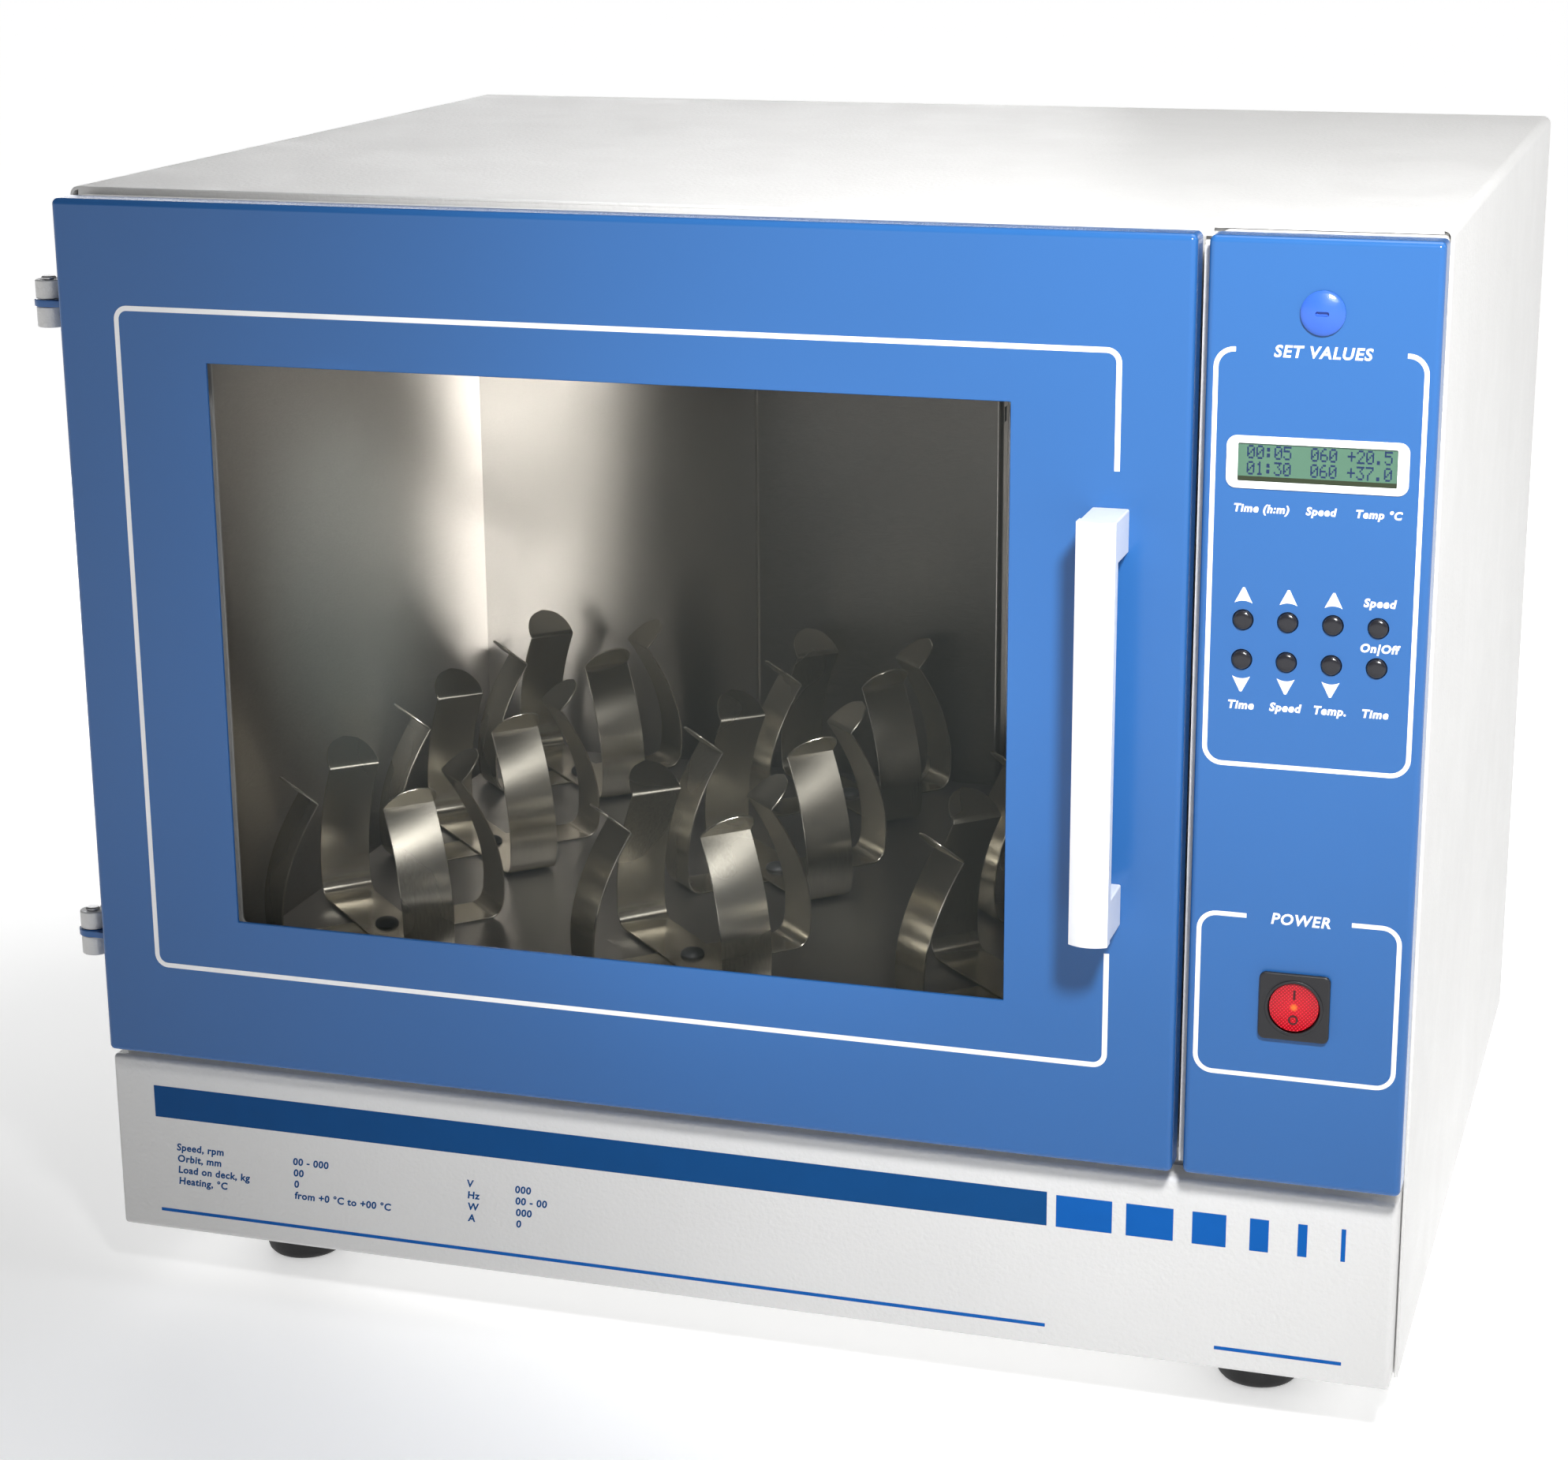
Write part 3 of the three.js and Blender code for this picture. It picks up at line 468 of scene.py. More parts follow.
# ---------- camera, light and floor ----------
def camera():
    """The view of the photograph: front right, a little above."""
    yaw, pitch, roll = math.radians(17.418), math.radians(-16.077), -0.0075
    forward = Vector((-math.sin(yaw) * math.cos(pitch), math.cos(yaw) * math.cos(pitch), math.sin(pitch)))
    level = Vector((math.cos(yaw), math.sin(yaw), 0))
    upright = level.cross(forward)
    right = level * math.cos(roll) + upright * math.sin(roll)
    up = upright * math.cos(roll) - level * math.sin(roll)
    data = bpy.data.cameras.new("camera")
    data.lens = 73.81
    data.sensor_width = 36
    data.clip_end = 50
    made = bpy.data.objects.new("camera", data)
    bpy.context.scene.collection.objects.link(made)
    aside, ahead, height = 417.04, 1244.13, 666.5
    place = Vector((CASE.x + aside, CASE.y0 - ahead, height)) * MM
    turn = Matrix((right, up, -forward)).transposed().to_4x4()
    made.matrix_world = Matrix.Translation(place) @ turn
    bpy.context.scene.camera = made


def aimed(made, place, target):
    """Puts a lamp at a place, shining at a target."""
    made.location = place
    made.rotation_euler = (Vector(target) - Vector(place)).to_track_quat("-Z", "Y").to_euler()
    bpy.context.scene.collection.objects.link(made)


def softbox(name, place, target, size, power):
    data = bpy.data.lights.new(name, "AREA")
    data.shape = "RECTANGLE"
    data.size, data.size_y = size
    data.energy = power
    aimed(bpy.data.objects.new(name, data), place, target)


def spotlight(name, place, target, degrees, power, radius, narrow=1.0, blend=1.0):
    """A lamp with a round cone, or one squeezed sideways by the narrow factor."""
    lamp = bpy.data.lights.new(name, "SPOT")
    lamp.energy = power
    lamp.spot_size = math.radians(degrees)
    lamp.spot_blend = blend
    lamp.shadow_soft_size = radius
    made = bpy.data.objects.new(name, lamp)
    made.scale.x = narrow
    aimed(made, place, target)


def white_floor():
    """A matt white floor that glows a little, more so far from the object, like a lit sweep."""
    surface = Surface("floor_white", (0.9, 0.9, 0.9), 0.6)
    surface.set("Emission Color", (1, 1, 1, 1))
    surface.vary_colour(surface.noise(1.5), (0.89, 0.89, 0.89), (0.91, 0.91, 0.91))
    distance = surface.nodes.new("ShaderNodeVectorMath")
    distance.operation = "LENGTH"
    surface.links.new(surface.place, distance.inputs[0])
    dim, bright, near, far = 0.43, 0.92, 0.52, 1.3
    glow = surface.ranged(distance.outputs["Value"], dim, bright, near, far)
    surface.links.new(glow, surface.shader.inputs["Emission Strength"])
    return surface.material


def sky():
    """A dim studio overhead that is bright just above the horizon, where it meets the floor."""
    world = bpy.data.worlds.new("world")
    world.use_nodes = True
    nodes, links = world.node_tree.nodes, world.node_tree.links
    height = nodes.new("ShaderNodeSeparateXYZ")
    links.new(nodes.new("ShaderNodeTexCoord").outputs["Generated"], height.inputs[0])
    glow = nodes.new("ShaderNodeMapRange")
    for socket, value in (("From Min", 0.03), ("From Max", 0.12), ("To Min", 0.85), ("To Max", 0.08)):
        glow.inputs[socket].default_value = value
    links.new(height.outputs["Z"], glow.inputs["Value"])
    nodes["Background"].inputs["Color"].default_value = (1, 1, 1, 1)
    links.new(glow.outputs["Result"], nodes["Background"].inputs["Strength"])
    bpy.context.scene.world = world


def corner_lights():
    """Two narrow lamps through the window, seen again as bands of light in the liner's rear corner."""
    for name, place, target, degrees, power, narrow in (
        ("corner_low", (0.25, -1.5, 0.2), (-0.282, 0.164, 0.392), 6.4, 310, 0.52),
        ("corner_mid", (0.25, -1.5, 0.55), (-0.282, 0.164, 0.273), 8, 285, 0.42),
    ):
        spotlight(name, place, target, degrees, power, radius=0.02, narrow=narrow, blend=0.5)


def studio():
    half = 60.0
    floor_data = bpy.data.meshes.new("floor")
    corners = [(-half, -half, 0), (half, -half, 0), (half, half, 0), (-half, half, 0)]
    floor_data.from_pydata(corners, [], [(0, 1, 2, 3)])
    floor = bpy.data.objects.new("floor", floor_data)
    bpy.context.scene.collection.objects.link(floor)
    floor_data.materials.append(white_floor())
    sky()
    spotlight("key", (0.5, -1.0, 1.02), (0.27, -0.26, 0.51), degrees=53, power=84, radius=0.08)
    spotlight("front", (0.36, -1.55, 0.5), (-0.04, 0.0, 0.27), degrees=14, power=38, radius=0.05)
    corner_lights()
    softbox("top", (0.5, 0.1, 1.8), (0.1, 0, 0.4), size=(1.1, 1.1), power=14.5)
    softbox("right", (1.6, 0.0, 1.2), (0.3, 0, 0.5), size=(0.8, 0.8), power=3.6)
    softbox("rear", (-0.9, 1.7, 0.4), (0, 0.2, 0.3), size=(1.4, 0.7), power=14)
    bpy.context.scene.view_settings.view_transform = "Standard"


# ---------- cabinet ----------
def casing():
    """The wrap of side, top and side, folded from one sheet."""
    radius = 4.0

    def rolled(bend):
        """The top and its two rounded corners, from right to left."""
        points = []
        for x, start in ((CASE.x1 - radius, 0), (CASE.x0 + radius, 90)):
            for step in range(CORNER_STEPS + 1):
                turn = math.radians(start + 90 * step / CORNER_STEPS)
                points.append((x + bend * math.cos(turn), CASE.z1 - radius + bend * math.sin(turn)))
        return points

    outline = [(CASE.x1, CASE.z0), *rolled(radius), (CASE.x0, CASE.z0)]
    outline += [(CASE.x0 + SHEET, CASE.z0), *rolled(radius - SHEET)[::-1], (CASE.x1 - SHEET, CASE.z0)]
    parts = [extruded([outline], CASE.y0, CASE.y1, 0.4, steps=2)]
    hem_top = CASE.z1 - SHEET + 0.1
    over_door = area(CASE.x0 + 4, PANEL.x0 - 3, CASE.z1 - 6, hem_top)
    over_panel = area(PANEL.x0 - 3, CASE.x1 - 4, CASE.z1 - 2.7, hem_top)
    for hem in (over_door, over_panel):
        parts.append(extruded([rectangle(hem, 0.2, 1)], CASE.y0 + 0.2, CASE.y0 + SHEET, 0.1))
    piece("casing_wrap", joined(parts), PAINT["white"], "cabinet", ["outer_casing"])


def rear_screws():
    """Pan head screws round the rear panel and two small ones on the inlet, with a cross recess."""
    rear = span("rear_panel")
    inlet = span("power_inlet")
    pan_head = [(0, 0), (4.5, 0), (4.7, 0.5), (4.3, 1.5), (3, 2.2), (0.4, 2.5), (0, 2.5)]
    head = turned(pan_head, 0, 0, 0, "Y", 24)
    arm, half = 2.2, 0.45
    quarter = [(half, -arm), (half, -half), (arm, -half)]
    cross = []
    for _ in range(4):
        cross += quarter
        quarter = [(-z, x) for x, z in quarter]
    head = cut(head, [extruded([cross], -3, -1.4)])
    head.transform(Matrix.Rotation(math.pi, 4, "Z"))
    low, high, edge, spread = rear.z0 + 11, rear.z1 - 10, 9, 120
    heights = [low, rear.z0 + 165, rear.z0 + 315, high]
    places = [(x, z) for x in (rear.x0 + edge, rear.x1 - edge) for z in heights]
    places += [(rear.x + dx, z) for z in (high, low) for dx in (-spread, spread)]
    for index, (x, z) in enumerate(places):
        copy = head.copy()
        copy.transform(Matrix.Translation(Vector((x, rear.y1, z)) * MM))
        piece(f"rear_screw_{index + 1}", copy, STEEL["machined"], "cabinet")
    for side, dz in (("lower", -25.5), ("upper", 25.5)):
        copy = head.copy()
        place = Matrix.Translation(Vector((inlet.x, inlet.y1 - 1, inlet.z + dz)) * MM)
        copy.transform(place @ Matrix.Scale(0.5, 4))
        piece(f"inlet_screw_{side}", copy, STEEL["machined"], "cabinet")


def lower_panel():
    mesh = folded_pan(LOWER, LOWER.y0, LOWER.y1, SHEET, 2.2, 2.0)
    piece("lower_panel_pan", mesh, PAINT["white"], "cabinet", ["lower_front_panel"])
    left = LOWER.x0 + 20.2
    bar_end = left + 421.3
    top = LOWER.z0 + 56.5
    marks = [("stripe_long", left, bar_end, top, top + 15.5, PRINT_BLUE)]
    blocks = [(4, 24.1), (6, 20.1), (8, 14.3), (9.9, 7.9), (12.1, 3.9), (14, 1.9)]
    start = bar_end
    for index, (gap, width) in enumerate(blocks):
        start += gap
        marks.append((f"stripe_block_{index + 1}", start, start + width, top, top + 14.6, PRINT_BRIGHT))
        start += width
    line = LOWER.z0 + 9.2
    marks.append(("rule_left", left, bar_end, line, line + 1.6, PRINT_BRIGHT))
    marks.append(("rule_right", bar_end + 73, bar_end + 126.5, line, line + 1.6, PRINT_BRIGHT))
    for name, x0, x1, z0, z1, ink in marks:
        printed(name, rectangle(area(x0, x1, z0, z1), 0.1, 1), LOWER.y0, ink)
    data_lines()


def data_lines():
    """Four short lines of data, with zeros for every figure."""
    lines = [("Speed, rpm", "00 - 000", "V", "000"), ("Orbit, mm", "00", "Hz", "00 - 00"),
             ("Load on deck, kg", "0", "W", "000"), ("Heating, °C", "from +0 °C to +00 °C", "A", "0")]
    columns = [LOWER.x0 + inset for inset in (30, 89, 175, 198.2)]
    height, pitch, first = 3.5, 5.6, LOWER.z0 + 42.5
    for row, words in enumerate(lines):
        for column, (word, x) in enumerate(zip(words, columns)):
            mesh = lettering(word, x, first - row * pitch, height, LOWER.y0, "LEFT", 0.14, 0.12, 1.08)
            piece(f"data_{row + 1}_{column + 1}", mesh, PRINT_BLUE, "cabinet", flat=False)


def feet():
    """Round rubber feet, wider at the top."""
    profile = [(0, 0), (14.5, 0), (16.5, 0.5), (17.8, 2), (18.4, 4), (20, 20)]
    profile += [(20.2, 23), (19.8, 26.6), (18.8, 27.5), (0, 27.5)]
    for name in ("foot_front_left", "foot_front_right", "foot_rear_left", "foot_rear_right"):
        foot = span(name)
        mesh = turned(profile, foot.x, foot.y, foot.z0)
        piece(f"{name}_rubber", mesh, RUBBER, "cabinet", [name], 40)


def tab_height(side):
    """The height of the door's tab between the two barrels of a hinge."""
    return span(f"hinge_bracket_{side}").z0 + HINGE_TAB_RISE


def hinges():
    """Two turned barrels on a leaf, and a pin through them, with room for the door's tab between."""
    barrel, bore = 6, 2.3
    pin_line = [(0, 0), (2, 0), (2, 21.2), (3.2, 21.3), (3.2, 21.9), (2.6, 22.4), (0, 22.4)]
    for side in ("upper", "lower"):
        pin = span(f"hinge_pin_{side}")
        x, y, tab = pin.x, pin.y, tab_height(side)
        parts = []
        for low, high in ((1.8, 9.7), (-10.7, -1.8)):
            rings = [circle(x, y, barrel), circle(x, y, bore)]
            parts.append(extruded(rings, tab + low, tab + high, 0.5, "Z"))
            arm = [(x + 0.4, y + 3), (x + 4.6, y + 3), (x + 4.6, y + 18), (x + 0.4, y + 18)]
            parts.append(extruded([arm], tab + low, tab + high, 0.4, "Z"))
        leaf = [(y + 17, tab - 14), (y + 48, tab - 14), (y + 48, tab + 13), (y + 17, tab + 13)]
        parts.append(extruded([leaf], x + 2.3, x + 4.6, 0.5, "X"))
        name = f"hinge_bracket_{side}"
        piece(f"{name}_painted", joined(parts), PAINT["white"], "cabinet", [name], 40)
        stem = turned(pin_line, x, y, tab - 11.2)
        name = f"hinge_pin_{side}"
        piece(f"{name}_turned", stem, STEEL["machined"], "cabinet", [name], 40)


# ---------- control panel ----------
def button_spots():
    return {name: span(name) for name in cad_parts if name.startswith("button_")}


def control_panel():
    """The panel's cover, with holes for the display, switch, cap and buttons."""
    blank = folded_pan(PANEL, FRONT, FLANGE_BACK, SHEET, 2.6, 2.5)
    switch = span("power_switch_housing")
    cap = span("blanking_cap")
    display_hole = rectangle(display_opening(), 0.5, 2)
    square = rectangle(area(switch.x - 13, switch.x + 13, switch.z - 13, switch.z + 13), 0.5, 2)
    holes = [display_hole, square, circle(cap.x, cap.z, 5)]
    holes += [circle(spot.x, spot.z, 4.2, 32) for spot in button_spots().values()]
    mesh = cut(blank, [extruded([hole], FRONT - 2, FRONT + 5) for hole in holes])
    piece("control_panel_pan", mesh, PAINT["blue"], "cabinet", ["control_panel_cover"])
    blanking_cap(cap)
    display_bezel()


def display_opening():
    """The hole in the cover for the glass of the display, with a little air round it."""
    module, air = span("lcd_module"), 0.4
    side, rim = 7 - air, 8 - air
    return area(module.x0 + side, module.x1 - side, module.z0 + rim, module.z1 - rim)


def blanking_cap(cap):
    """A domed plug with a short slot."""
    dome = [(0, -8), (4.6, -8), (4.6, 0), (8.6, 0), (8.6, 0.8), (8.2, 1.25), (7.2, 1.7)]
    dome += [(5.4, 2.3), (3, 2.8), (0.4, 3), (0, 3)]
    opening = rectangle(area(cap.x - 2.6, cap.x + 2.6, cap.z - 0.9, cap.z + 0.9), 0.8)
    slot = extruded([opening], FRONT - 5, FRONT - 1.6)
    mesh = cut(turned(dome, cap.x, FRONT - 0.3, cap.z, "Y"), [slot])
    piece("blanking_cap_dome", mesh, CAP_BLUE, "cabinet", ["blanking_cap"], 40)


def display_bezel():
    """The white surround of the display, and the dark lower edge of its glass."""
    lcd = display_opening()
    half_wide, half_tall = 30.5, 7.4
    surround = rectangle(area(lcd.x - 35, lcd.x + 35, lcd.z - 10.3, lcd.z + 10.3), 4, CORNER_STEPS)
    glass_area = area(lcd.x - half_wide, lcd.x + half_wide, lcd.z - half_tall, lcd.z + half_tall)
    mesh = extruded([surround, rectangle(glass_area, 0.4, 2)], FRONT - 0.6, FRONT - 0.05, 0.15)
    piece("lcd_bezel", mesh, BEZEL, "cabinet")
    edge = area(glass_area.x0, glass_area.x1, glass_area.z0, lcd.z - 5.6)
    face = span("lcd_module").y0
    mesh = extruded([rectangle(edge, 0.1, 1)], face - 0.1, face - 0.02)
    piece("lcd_lower_edge", mesh, OLIVE, "cabinet", flat=False)


def printed_panel():
    """White boxes, arrows and words on the control panel."""
    middle = PANEL.x - 0.4
    settings_top, power_top = PANEL.z0 + 343, PANEL.z0 + 115
    boxes = [("settings_box", PANEL.z0 + 178, settings_top, 32.5),
             ("power_box", PANEL.z0 + 47, power_top, 21)]
    last_corner = 3 * (CORNER_STEPS + 1)
    for name, z0, z1, gap in boxes:
        points = rectangle(area(middle - 40, middle + 40, z0, z1), 7, CORNER_STEPS)
        path = [(middle - gap, z1), *points[last_corner:], *points[:last_corner], (middle + gap, z1)]
        printed(name, band(path, 1.9), FRONT, PRINT_WHITE)
    spots = button_spots()
    keys = ("button_time_up", "button_speed_up", "button_temperature_up", "button_speed_run")
    columns = [spots[key].x for key in keys]
    upper, lower = spots["button_time_up"].z, spots["button_time_down"].z
    panel_words(middle, settings_top, power_top, columns, upper, lower)
    for index, x in enumerate(columns[:3]):
        for way, z, sign in (("up", upper + 6.8, 1), ("down", lower - 6.8, -1)):
            printed(f"arrow_{way}_{index + 1}", arrow(x, z, sign), FRONT, PRINT_WHITE)


def arrow(x, z, sign):
    """A triangle with a bowed base, pointing up for a sign of 1 and down for -1."""
    half_wide, bow, tall, half_tip = 3.5, 0.9, 6.2, 0.4
    points = [(x + half_wide * t, z + sign * bow * (1 - t * t)) for t in (-1, -0.6, -0.2, 0.2, 0.6, 1)]
    points += [(x + half_tip, z + sign * tall), (x - half_tip, z + sign * tall)]
    return points[::sign]


def panel_words(middle, settings_top, power_top, columns, upper, lower):
    """The words of the control panel: titles, heads under the display, and names of the buttons."""
    display = span("lcd_module")
    title, head, key = (4.6, 0.17), (3.1, 0.16), (3.3, 0.18)
    under_display, under_keys = display.z - 18, lower - 18.3
    words = [
        ("title_settings", "SET VALUES", middle + 0.5, settings_top, *title),
        ("title_power", "POWER", middle + 0.5, power_top, *title),
        ("head_time", "Time (h:m)", display.x - 21, under_display, *head),
        ("head_speed", "Speed", display.x + 2, under_display, *head),
        ("head_temperature", "Temp °C", display.x + 24, under_display, *head),
        ("key_time", "Time", columns[0], under_keys, *key),
        ("key_speed", "Speed", columns[1], under_keys, *key),
        ("key_temperature", "Temp.", columns[2], under_keys, *key),
        ("key_run_time", "Time", columns[3], under_keys, *key),
        ("key_run_speed", "Speed", columns[3], upper + 10, *key),
        ("key_run_stop", "On|Off", columns[3] + 0.5, (upper + lower) / 2, *key),
    ]
    for name, word, x, z, height, bold in words:
        mesh = lettering(word, x, z, height, FRONT, "CENTER", bold, 0.18)
        piece(name, mesh, PRINT_WHITE, "cabinet", flat=False)


GLYPHS = {
    "0": "01110 10001 10011 10101 11001 10001 01110",
    "1": "00100 01100 00100 00100 00100 00100 01110",
    "2": "01110 10001 00001 00010 00100 01000 11111",
    "3": "11111 00010 00100 00010 00001 10001 01110",
    "5": "11111 10000 11110 00001 00001 10001 01110",
    "6": "00110 01000 10000 11110 10001 10001 01110",
    "7": "11111 00001 00010 00100 01000 01000 01000",
    "+": "00000 00100 00100 11111 00100 00100 00000",
    ".": "00000 00000 00000 00000 00000 01100 01100",
    ":": "00000 01100 01100 00000 01100 01100 00000",
}


def display():
    """The green display with two rows of dot characters."""
    module = span("lcd_module")
    rows = [" 00:05  060 +20.5", " 01:30  060 +37.0"]
    left, top = module.x - 30.6, module.z + 6.6
    dot, step, wide, tall = 0.6, 0.76, 3.5, 6.3
    dot_wide, dot_tall = 0.59, 0.74
    dots = []
    for row, text in enumerate(rows):
        for place, letter in enumerate(text):
            for line, bits in enumerate(GLYPHS.get(letter, "").split()):
                for column, bit in enumerate(bits):
                    if bit == "1":
                        x = left + place * wide + column * dot
                        z = top - row * tall - line * step
                        right, foot = x + dot_wide, z - dot_tall
                        dots.append([(x, foot), (right, foot), (right, z), (x, z)])
    face = module.y0 - 0.05
    mesh = extruded(dots, face, face + 0.04)
    piece("display_dots", mesh, SEGMENT, "cabinet", flat=False)


def buttons():
    """Round keys with a collar behind the cover and a domed face."""
    profile = [(0, 0), (4.7, 0), (4.7, 1), (3.9, 1.05), (3.9, 4.9), (3.75, 5.5)]
    profile += [(3.3, 6.0), (2.4, 6.3), (1.2, 6.42), (0, 6.44)]
    for name, spot in button_spots().items():
        mesh = turned(profile, spot.x, spot.y1, spot.z, "Y", 36)
        body = name.replace("button_", "key_")
        piece(f"{name}_cap", mesh, KEY, body, [name], 50)


def power_switch():
    """The square body of the switch, with a round well for its rocker."""
    housing = span("power_switch_housing")
    x, z = housing.x, housing.z
    flange = area(x - 14.25, x + 14.25, z - 14.25, z + 14.25)
    ring = extruded([rectangle(flange, 2.6, 6), circle(x, z, 10.6, 64)], FRONT - 2.3, FRONT - 0.3, 0.8)
    collar = extruded([circle(x, z, 11.7, 64), circle(x, z, 10.5, 64)], FRONT - 2.9, FRONT - 2, 0.3)
    body = area(x - 12.7, x + 12.7, z - 12.7, z + 12.7)
    box = extruded([rectangle(body, 1, 3), circle(x, z, 10.5, 64)], FRONT - 0.5, FRONT + 15, 0.1)
    back = extruded([rectangle(body, 1, 3)], FRONT + 15, FRONT + 21.8, 0.3)
    parts = joined([ring, collar, box, back])
    piece("power_switch_body", parts, BLACK, "cabinet", ["power_switch_housing"])
    rocker_lens()


def rocker_lens():
    """The round red rocker with its hollowed face, tipped to the on side."""
    hollow, depth, tip = 60, 3.1, -7
    profile = [(0, -4), (9.6, -4), (9.9, -3.6), (9.9, 3.3), (9.7, 3.8), (9.2, 4.1), (0, 4.1)]
    lens = turned(profile, 0, 0, 0, "Y", 64)
    scoop = extruded([circle(0, 0, hollow, 160)], -20, 20, axis="X")
    scoop.transform(Matrix.Translation((0, -(hollow + depth) * MM, 0)))
    lens = cut(lens, [scoop])
    rocker = span("power_rocker")
    place = Matrix.Translation(Vector((rocker.x, FRONT + 0.8, rocker.z)) * MM)
    tilt = place @ Matrix.Rotation(math.radians(tip), 4, "X")
    lens.transform(tilt)
    piece("power_rocker_lens", lens, RED, "rocker", ["power_rocker"], 30)
    marks = [extruded([rectangle(area(-0.45, 0.45, 3.2, 7), 0.2, 2)], -3.6, -3.1),
             extruded([circle(0, -5.2, 2, 32), circle(0, -5.2, 1.25, 32)], -3.55, -3.0)]
    for name, mesh in zip(("rocker_mark_on", "rocker_mark_off"), marks):
        mesh.transform(tilt)
        piece(name, mesh, LENS_MARK, "rocker", flat=False)


# ---------- door ----------
def door():
    """The blue shell, the white lining behind it and the spacer between the two panes."""
    mesh = folded_pan(DOOR, FRONT, FLANGE_BACK, SHEET, 2.6, 2.5, WINDOW)
    piece("door_pan", mesh, PAINT["blue"], "door", ["door_shell"])
    door_tabs()
    mesh = folded_pan(PAN, PAN.y1, PAN.y0, SHEET, 1.5, 2, WINDOW.grown(10.8), 4)
    piece("door_inner_lining", mesh, PAINT["white"], "door", ["door_inner_pan"])

    outer, inner = span("outer_glass"), span("inner_glass")
    outside, opening = rectangle(WINDOW.grown(15), 3), rectangle(WINDOW.grown(10.3), 1)
    mesh = extruded([outside, opening], outer.y1 + 0.3, inner.y0 - 0.3, 0.4)
    piece("glazing_spacer", mesh, GASKET, "door")

    line = area(DOOR.x0 + 28, DOOR.x1 - 29, DOOR.z0 + 44.5, DOOR.z1 - 45.5)
    points = rectangle(line, 5, CORNER_STEPS)
    lower_gap, upper_gap = DOOR.z0 + 93.5, DOOR.z0 + 293.5
    top_right = 2 * (CORNER_STEPS + 1)
    path = [(line.x1, upper_gap), *points[top_right:], *points[:top_right], (line.x1, lower_gap)]
    printed("door_line", band(path, 2.2), FRONT, PRINT_WHITE, "door")


def door_tabs():
    """The door's tabs, each an eye round its hinge pin on a short arm."""
    eye, bore = 6.8, 2.3
    for side in ("upper", "lower"):
        pin = span(f"hinge_pin_{side}")
        tab = tab_height(side)
        edge = DOOR.x0 + 1
        arm = [(pin.x, pin.y - eye), (edge, pin.y - eye), (edge, pin.y - 1), (pin.x, pin.y - 1)]
        rings = [circle(pin.x, pin.y, eye), circle(pin.x, pin.y, bore, 24)]
        disc = extruded(rings, tab - 1.5, tab + 1.5, 0.3, "Z")
        room = extruded([circle(pin.x, pin.y, 5)], tab - 3, tab + 3, axis="Z")
        link = cut(extruded([arm], tab - 1.4, tab + 1.4, 0.2, "Z"), [room])
        piece(f"door_tab_{side}", joined([disc, link]), PAINT["blue"], "door", flat=False)


def handle():
    """A shallow D section bar on two square posts."""
    half = (HANDLE.x1 - HANDLE.x0) / 2
    back, edge, crown, steps = HANDLE.y0 + 8, HANDLE.y0 + 2.7, 2.6, 12
    section = [(HANDLE.x1, back), (HANDLE.x0, back), (HANDLE.x0, edge)]
    for step in range(1, steps):
        across = -1 + 2 * step / steps
        section.append((HANDLE.x + half * across, HANDLE.y0 + 0.1 + crown * across * across))
    section.append((HANDLE.x1, edge))
    bar = extruded([section[::-1]], HANDLE.z0, HANDLE.z1, 0.35, "Z")
    piece("handle_bar", bar, ALUMINIUM_BLUE_REFLECTION, "door", ["door_handle"], 30)
    post = 18
    for name, z0 in (("handle_post_lower", HANDLE.z0), ("handle_post_upper", HANDLE.z1 - post)):
        outline = rectangle(area(HANDLE.x0 + 0.4, HANDLE.x1 - 0.4, z0 + 0.2, z0 + post - 0.2), 0.8, 3)
        mesh = extruded([outline], back + 0.05, FRONT - 0.05, 0.3)
        piece(name, mesh, ALUMINIUM_BLUE_REFLECTION, "door")


# ---------- chamber ----------
def duct_cover():
    """The shallow hood down the rear wall, open at its foot, with slots in its sides."""
    node = span("fan_duct_cover")
    mesh = folded_pan(node, node.y0, node.y1, 1.2, 3, 3)
    rows, pitch, tall, first = 6, 18, 8, node.z1 - 131.7
    front, back = node.y0 + 4, node.y0 + 9
    slots = []
    for row in range(rows):
        z = first + row * pitch
        slot = [(front, z), (back, z), (back, z + tall), (front, z + tall)]
        slots.append(extruded([slot], node.x0 - 3, node.x1 + 3, axis="X"))
    left, right, near, far = node.x0 + 4, node.x1 - 4, node.y0 + 3, node.y1 - 1
    mouth = [(left, near), (right, near), (right, far), (left, far)]
    slots.append(extruded([mouth], node.z0 - 3, node.z0 + 3, axis="Z"))
    piece("fan_duct_hood", cut(mesh, slots), STEEL["duct"], "cabinet", ["fan_duct_cover"])


def tray():
    """The platform's plate, a pan built facing -Y and laid on its back."""
    outline = area(TRAY.x0, TRAY.x1, TRAY.y0, TRAY.y1)
    mesh = folded_pan(outline, -TRAY.z1, -TRAY.z0, wall=2, radius=3, corner=6)
    mesh.transform(Matrix(((1, 0, 0, 0), (0, 0, 1, 0), (0, -1, 0, 0), (0, 0, 0, 1))))
    piece("tray_top", mesh, STEEL["deck"], "platform", ["platform_tray"])


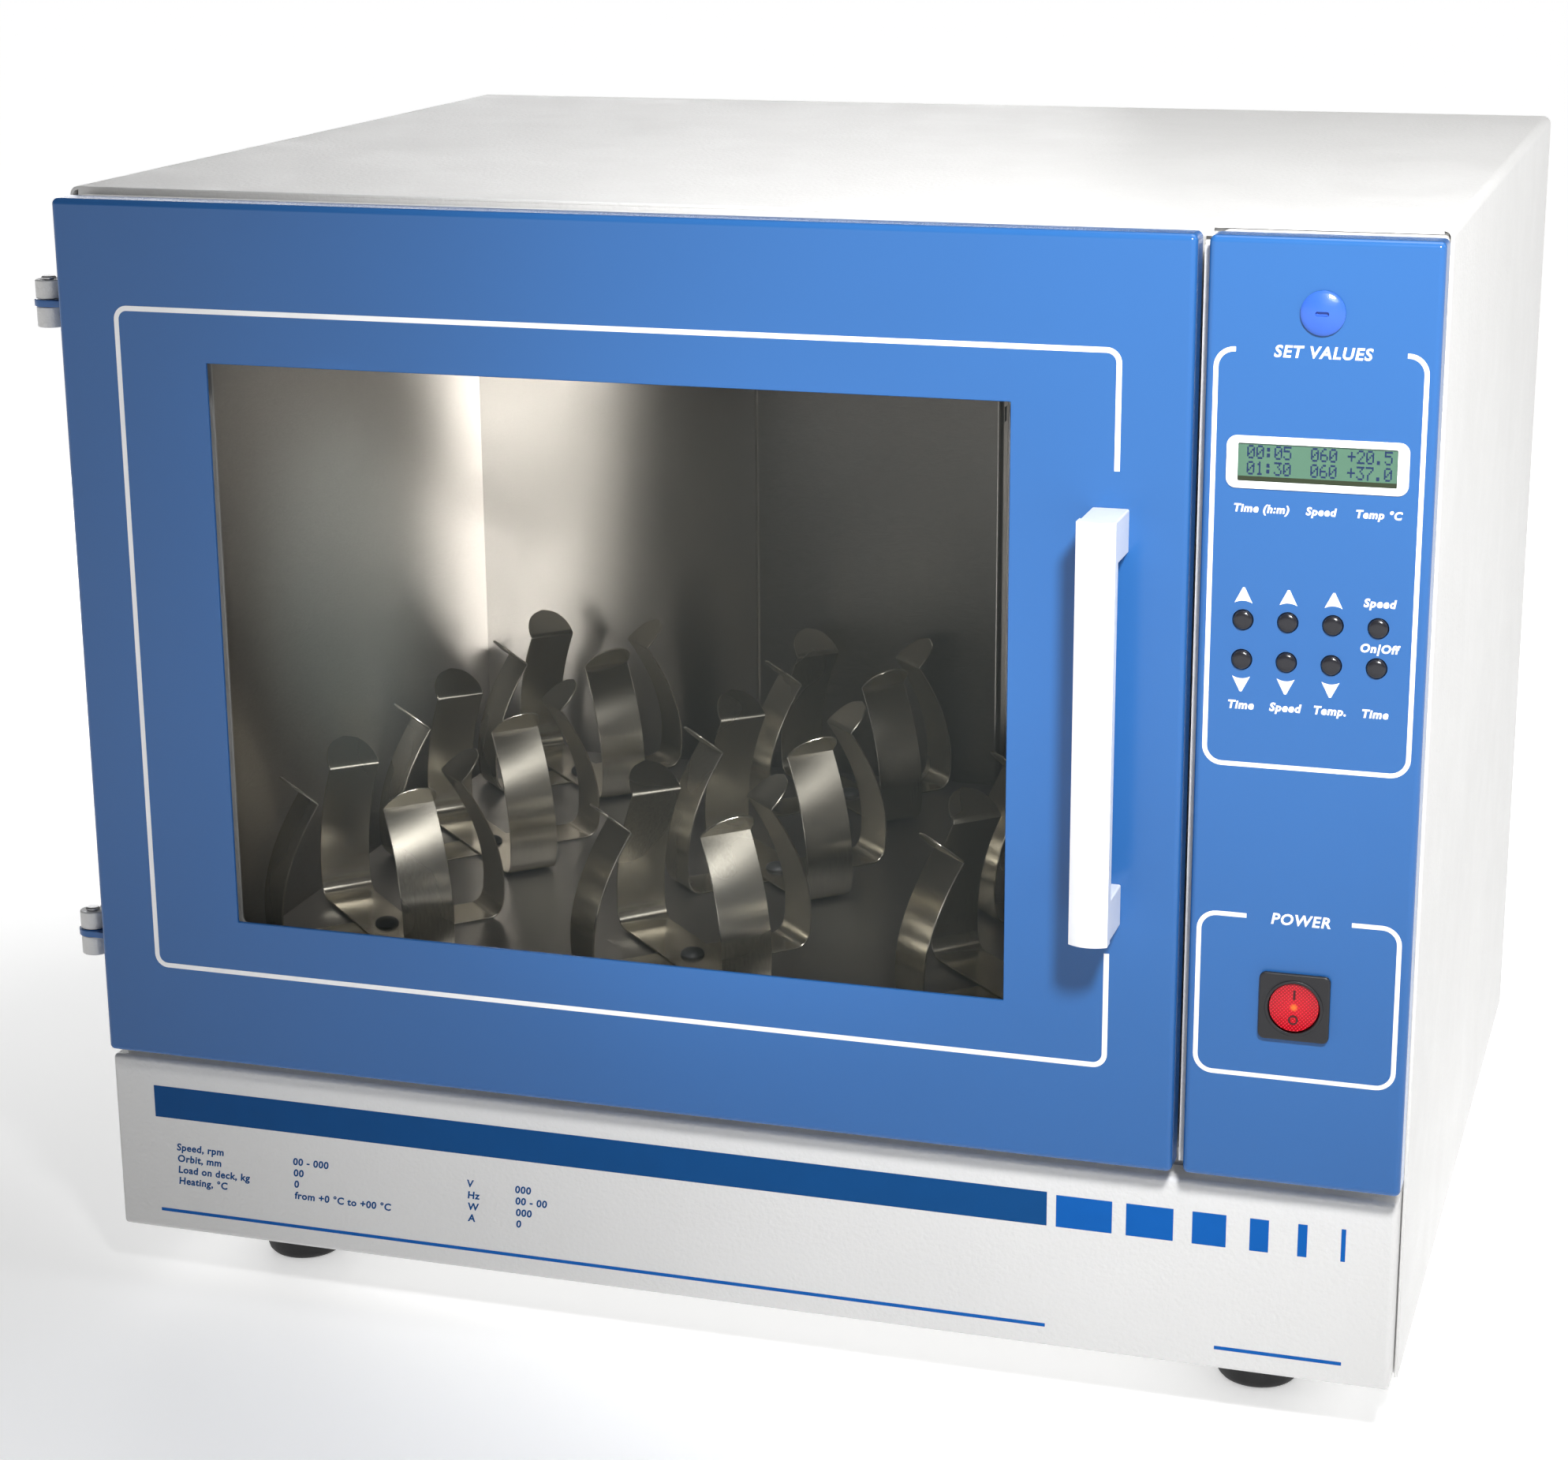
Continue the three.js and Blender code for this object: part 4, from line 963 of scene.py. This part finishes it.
def finger_line():
    """Half of a clamp strip seen from the side: (radius, height, half width) from the middle to the tip."""
    wide = 12.5
    foot, heel, neck = (47, 0), (54.9, 9), (35.5, 69)
    points = [(foot[0] * step / 4, 0, wide) for step in range(5)]

    def curve(start, bend, end, steps):
        for step in range(1, steps + 1):
            t = step / steps
            u, v = (a * (1 - t) ** 2 + 2 * b * t * (1 - t) + c * t * t for a, b, c in zip(start, bend, end))
            points.append((u, v, wide))

    curve(foot, (54.3, 0), heel, 7)
    curve(heel, (58, 36), neck, 16)
    lip, lip_out, lip_up, lip_steps = (35.9, 69.8), 12.6, 10.9, 10
    points.append((*lip, wide))
    for step in range(1, lip_steps + 1):
        t = step / lip_steps
        rounding = math.sqrt(max(1 - t ** 2.2, 0.003))
        points.append((lip[0] + lip_out * t, lip[1] + lip_up * t, wide * rounding))
    return points


def strip(height, thickness=0.9):
    """One clamp strip through both of its fingers, with rounded edges."""
    half = finger_line()
    line = [(-u, v, w) for u, v, w in half[:0:-1]] + half
    loops = []
    for index, (u, v, wide) in enumerate(line):
        u0, v0, _ = line[max(index - 1, 0)]
        u1, v1, _ = line[min(index + 1, len(line) - 1)]
        length = math.hypot(u1 - u0, v1 - v0)
        across = (-(v1 - v0) / length * thickness / 2, (u1 - u0) / length * thickness / 2)
        flat = wide - min(0.3, wide * 0.4)
        corners = [(-1, -flat), (-1, flat), (-0.35, wide), (0.35, wide), (1, flat), (1, -flat), (0.35, -wide),
                   (-0.35, -wide)]
        loop = [(u + across[0] * side, inset, v + height + across[1] * side) for side, inset in corners]
        loops.append(loop)
    return from_loops(loops)


def clamps():
    """Two crossed spring strips a clamp, held by a screw in the middle."""
    lower, upper = strip(0.45), strip(1.4)
    lower.transform(Matrix.Rotation(math.radians(45), 4, "Z"))
    upper.transform(Matrix.Rotation(math.radians(-45), 4, "Z"))
    pair = joined([lower, upper])
    head = [(0, 0), (5.4, 0), (5.6, 0.5), (5.2, 1.6), (4.2, 2.4), (2.6, 2.9), (0.4, 3), (0, 3)]
    screw = turned(head, 0, 0, 1.9, "Z", 32)
    arms = [area(-2.6, 2.6, -0.5, 0.5), area(-0.5, 0.5, -2.6, 2.6)]
    screw = cut(screw, [extruded([rectangle(arm, 0.2, 1)], 3.6, 6, axis="Z") for arm in arms])
    for number in range(1, 10):
        node = f"flask_clamp_{number}"
        seat = span(node)
        place = Matrix.Translation(Vector((seat.x, seat.y, seat.z0)) * MM)
        for name, mesh, ink, stands in ((f"clamp_{number}_strips", pair, STEEL["clamp"], [node]),
                                        (f"clamp_{number}_screw", screw, PAINT["dark"], [])):
            copy = mesh.copy()
            copy.transform(place)
            piece(name, copy, ink, "platform", stands, 35)


# ---------- the rest keeps its CAD shape ----------
CARRIED = {
    "front_frame": PAINT["white"], "base_pan": PAINT["white"], "rear_panel": PAINT["white"],
    "chamber_liner": STEEL["liner"], "insulation_jacket": WOOL, "heater_ring": STEEL["machined"],
    "fan_motor": PAINT["dark"], "lcd_module": DISPLAY, "control_board": BOARD, "power_supply": PAINT["dark"],
    "power_inlet": BLACK, "door_gasket": GASKET, "drive_chassis": PAINT["dark"], "drive_motor": PAINT["dark"],
    "drive_belt": RUBBER, "outer_glass": GLASS, "inner_glass": GLASS, "drive_crank": STEEL["machined"],
    "idler_crank_rear": STEEL["machined"], "idler_crank_left": STEEL["machined"],
    "idler_crank_right": STEEL["machined"], "motor_pulley": STEEL["machined"], "fan_impeller": STEEL["alloy"],
    "platform_carrier": STEEL["alloy"],
}


def carried():
    for name, material in CARRIED.items():
        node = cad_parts[name]
        node.data.materials.clear()
        node.data.materials.append(material)


camera()
studio()
casing()
rear_screws()
lower_panel()
feet()
hinges()
control_panel()
printed_panel()
display()
buttons()
power_switch()
door()
handle()
duct_cover()
tray()
clamps()
carried()
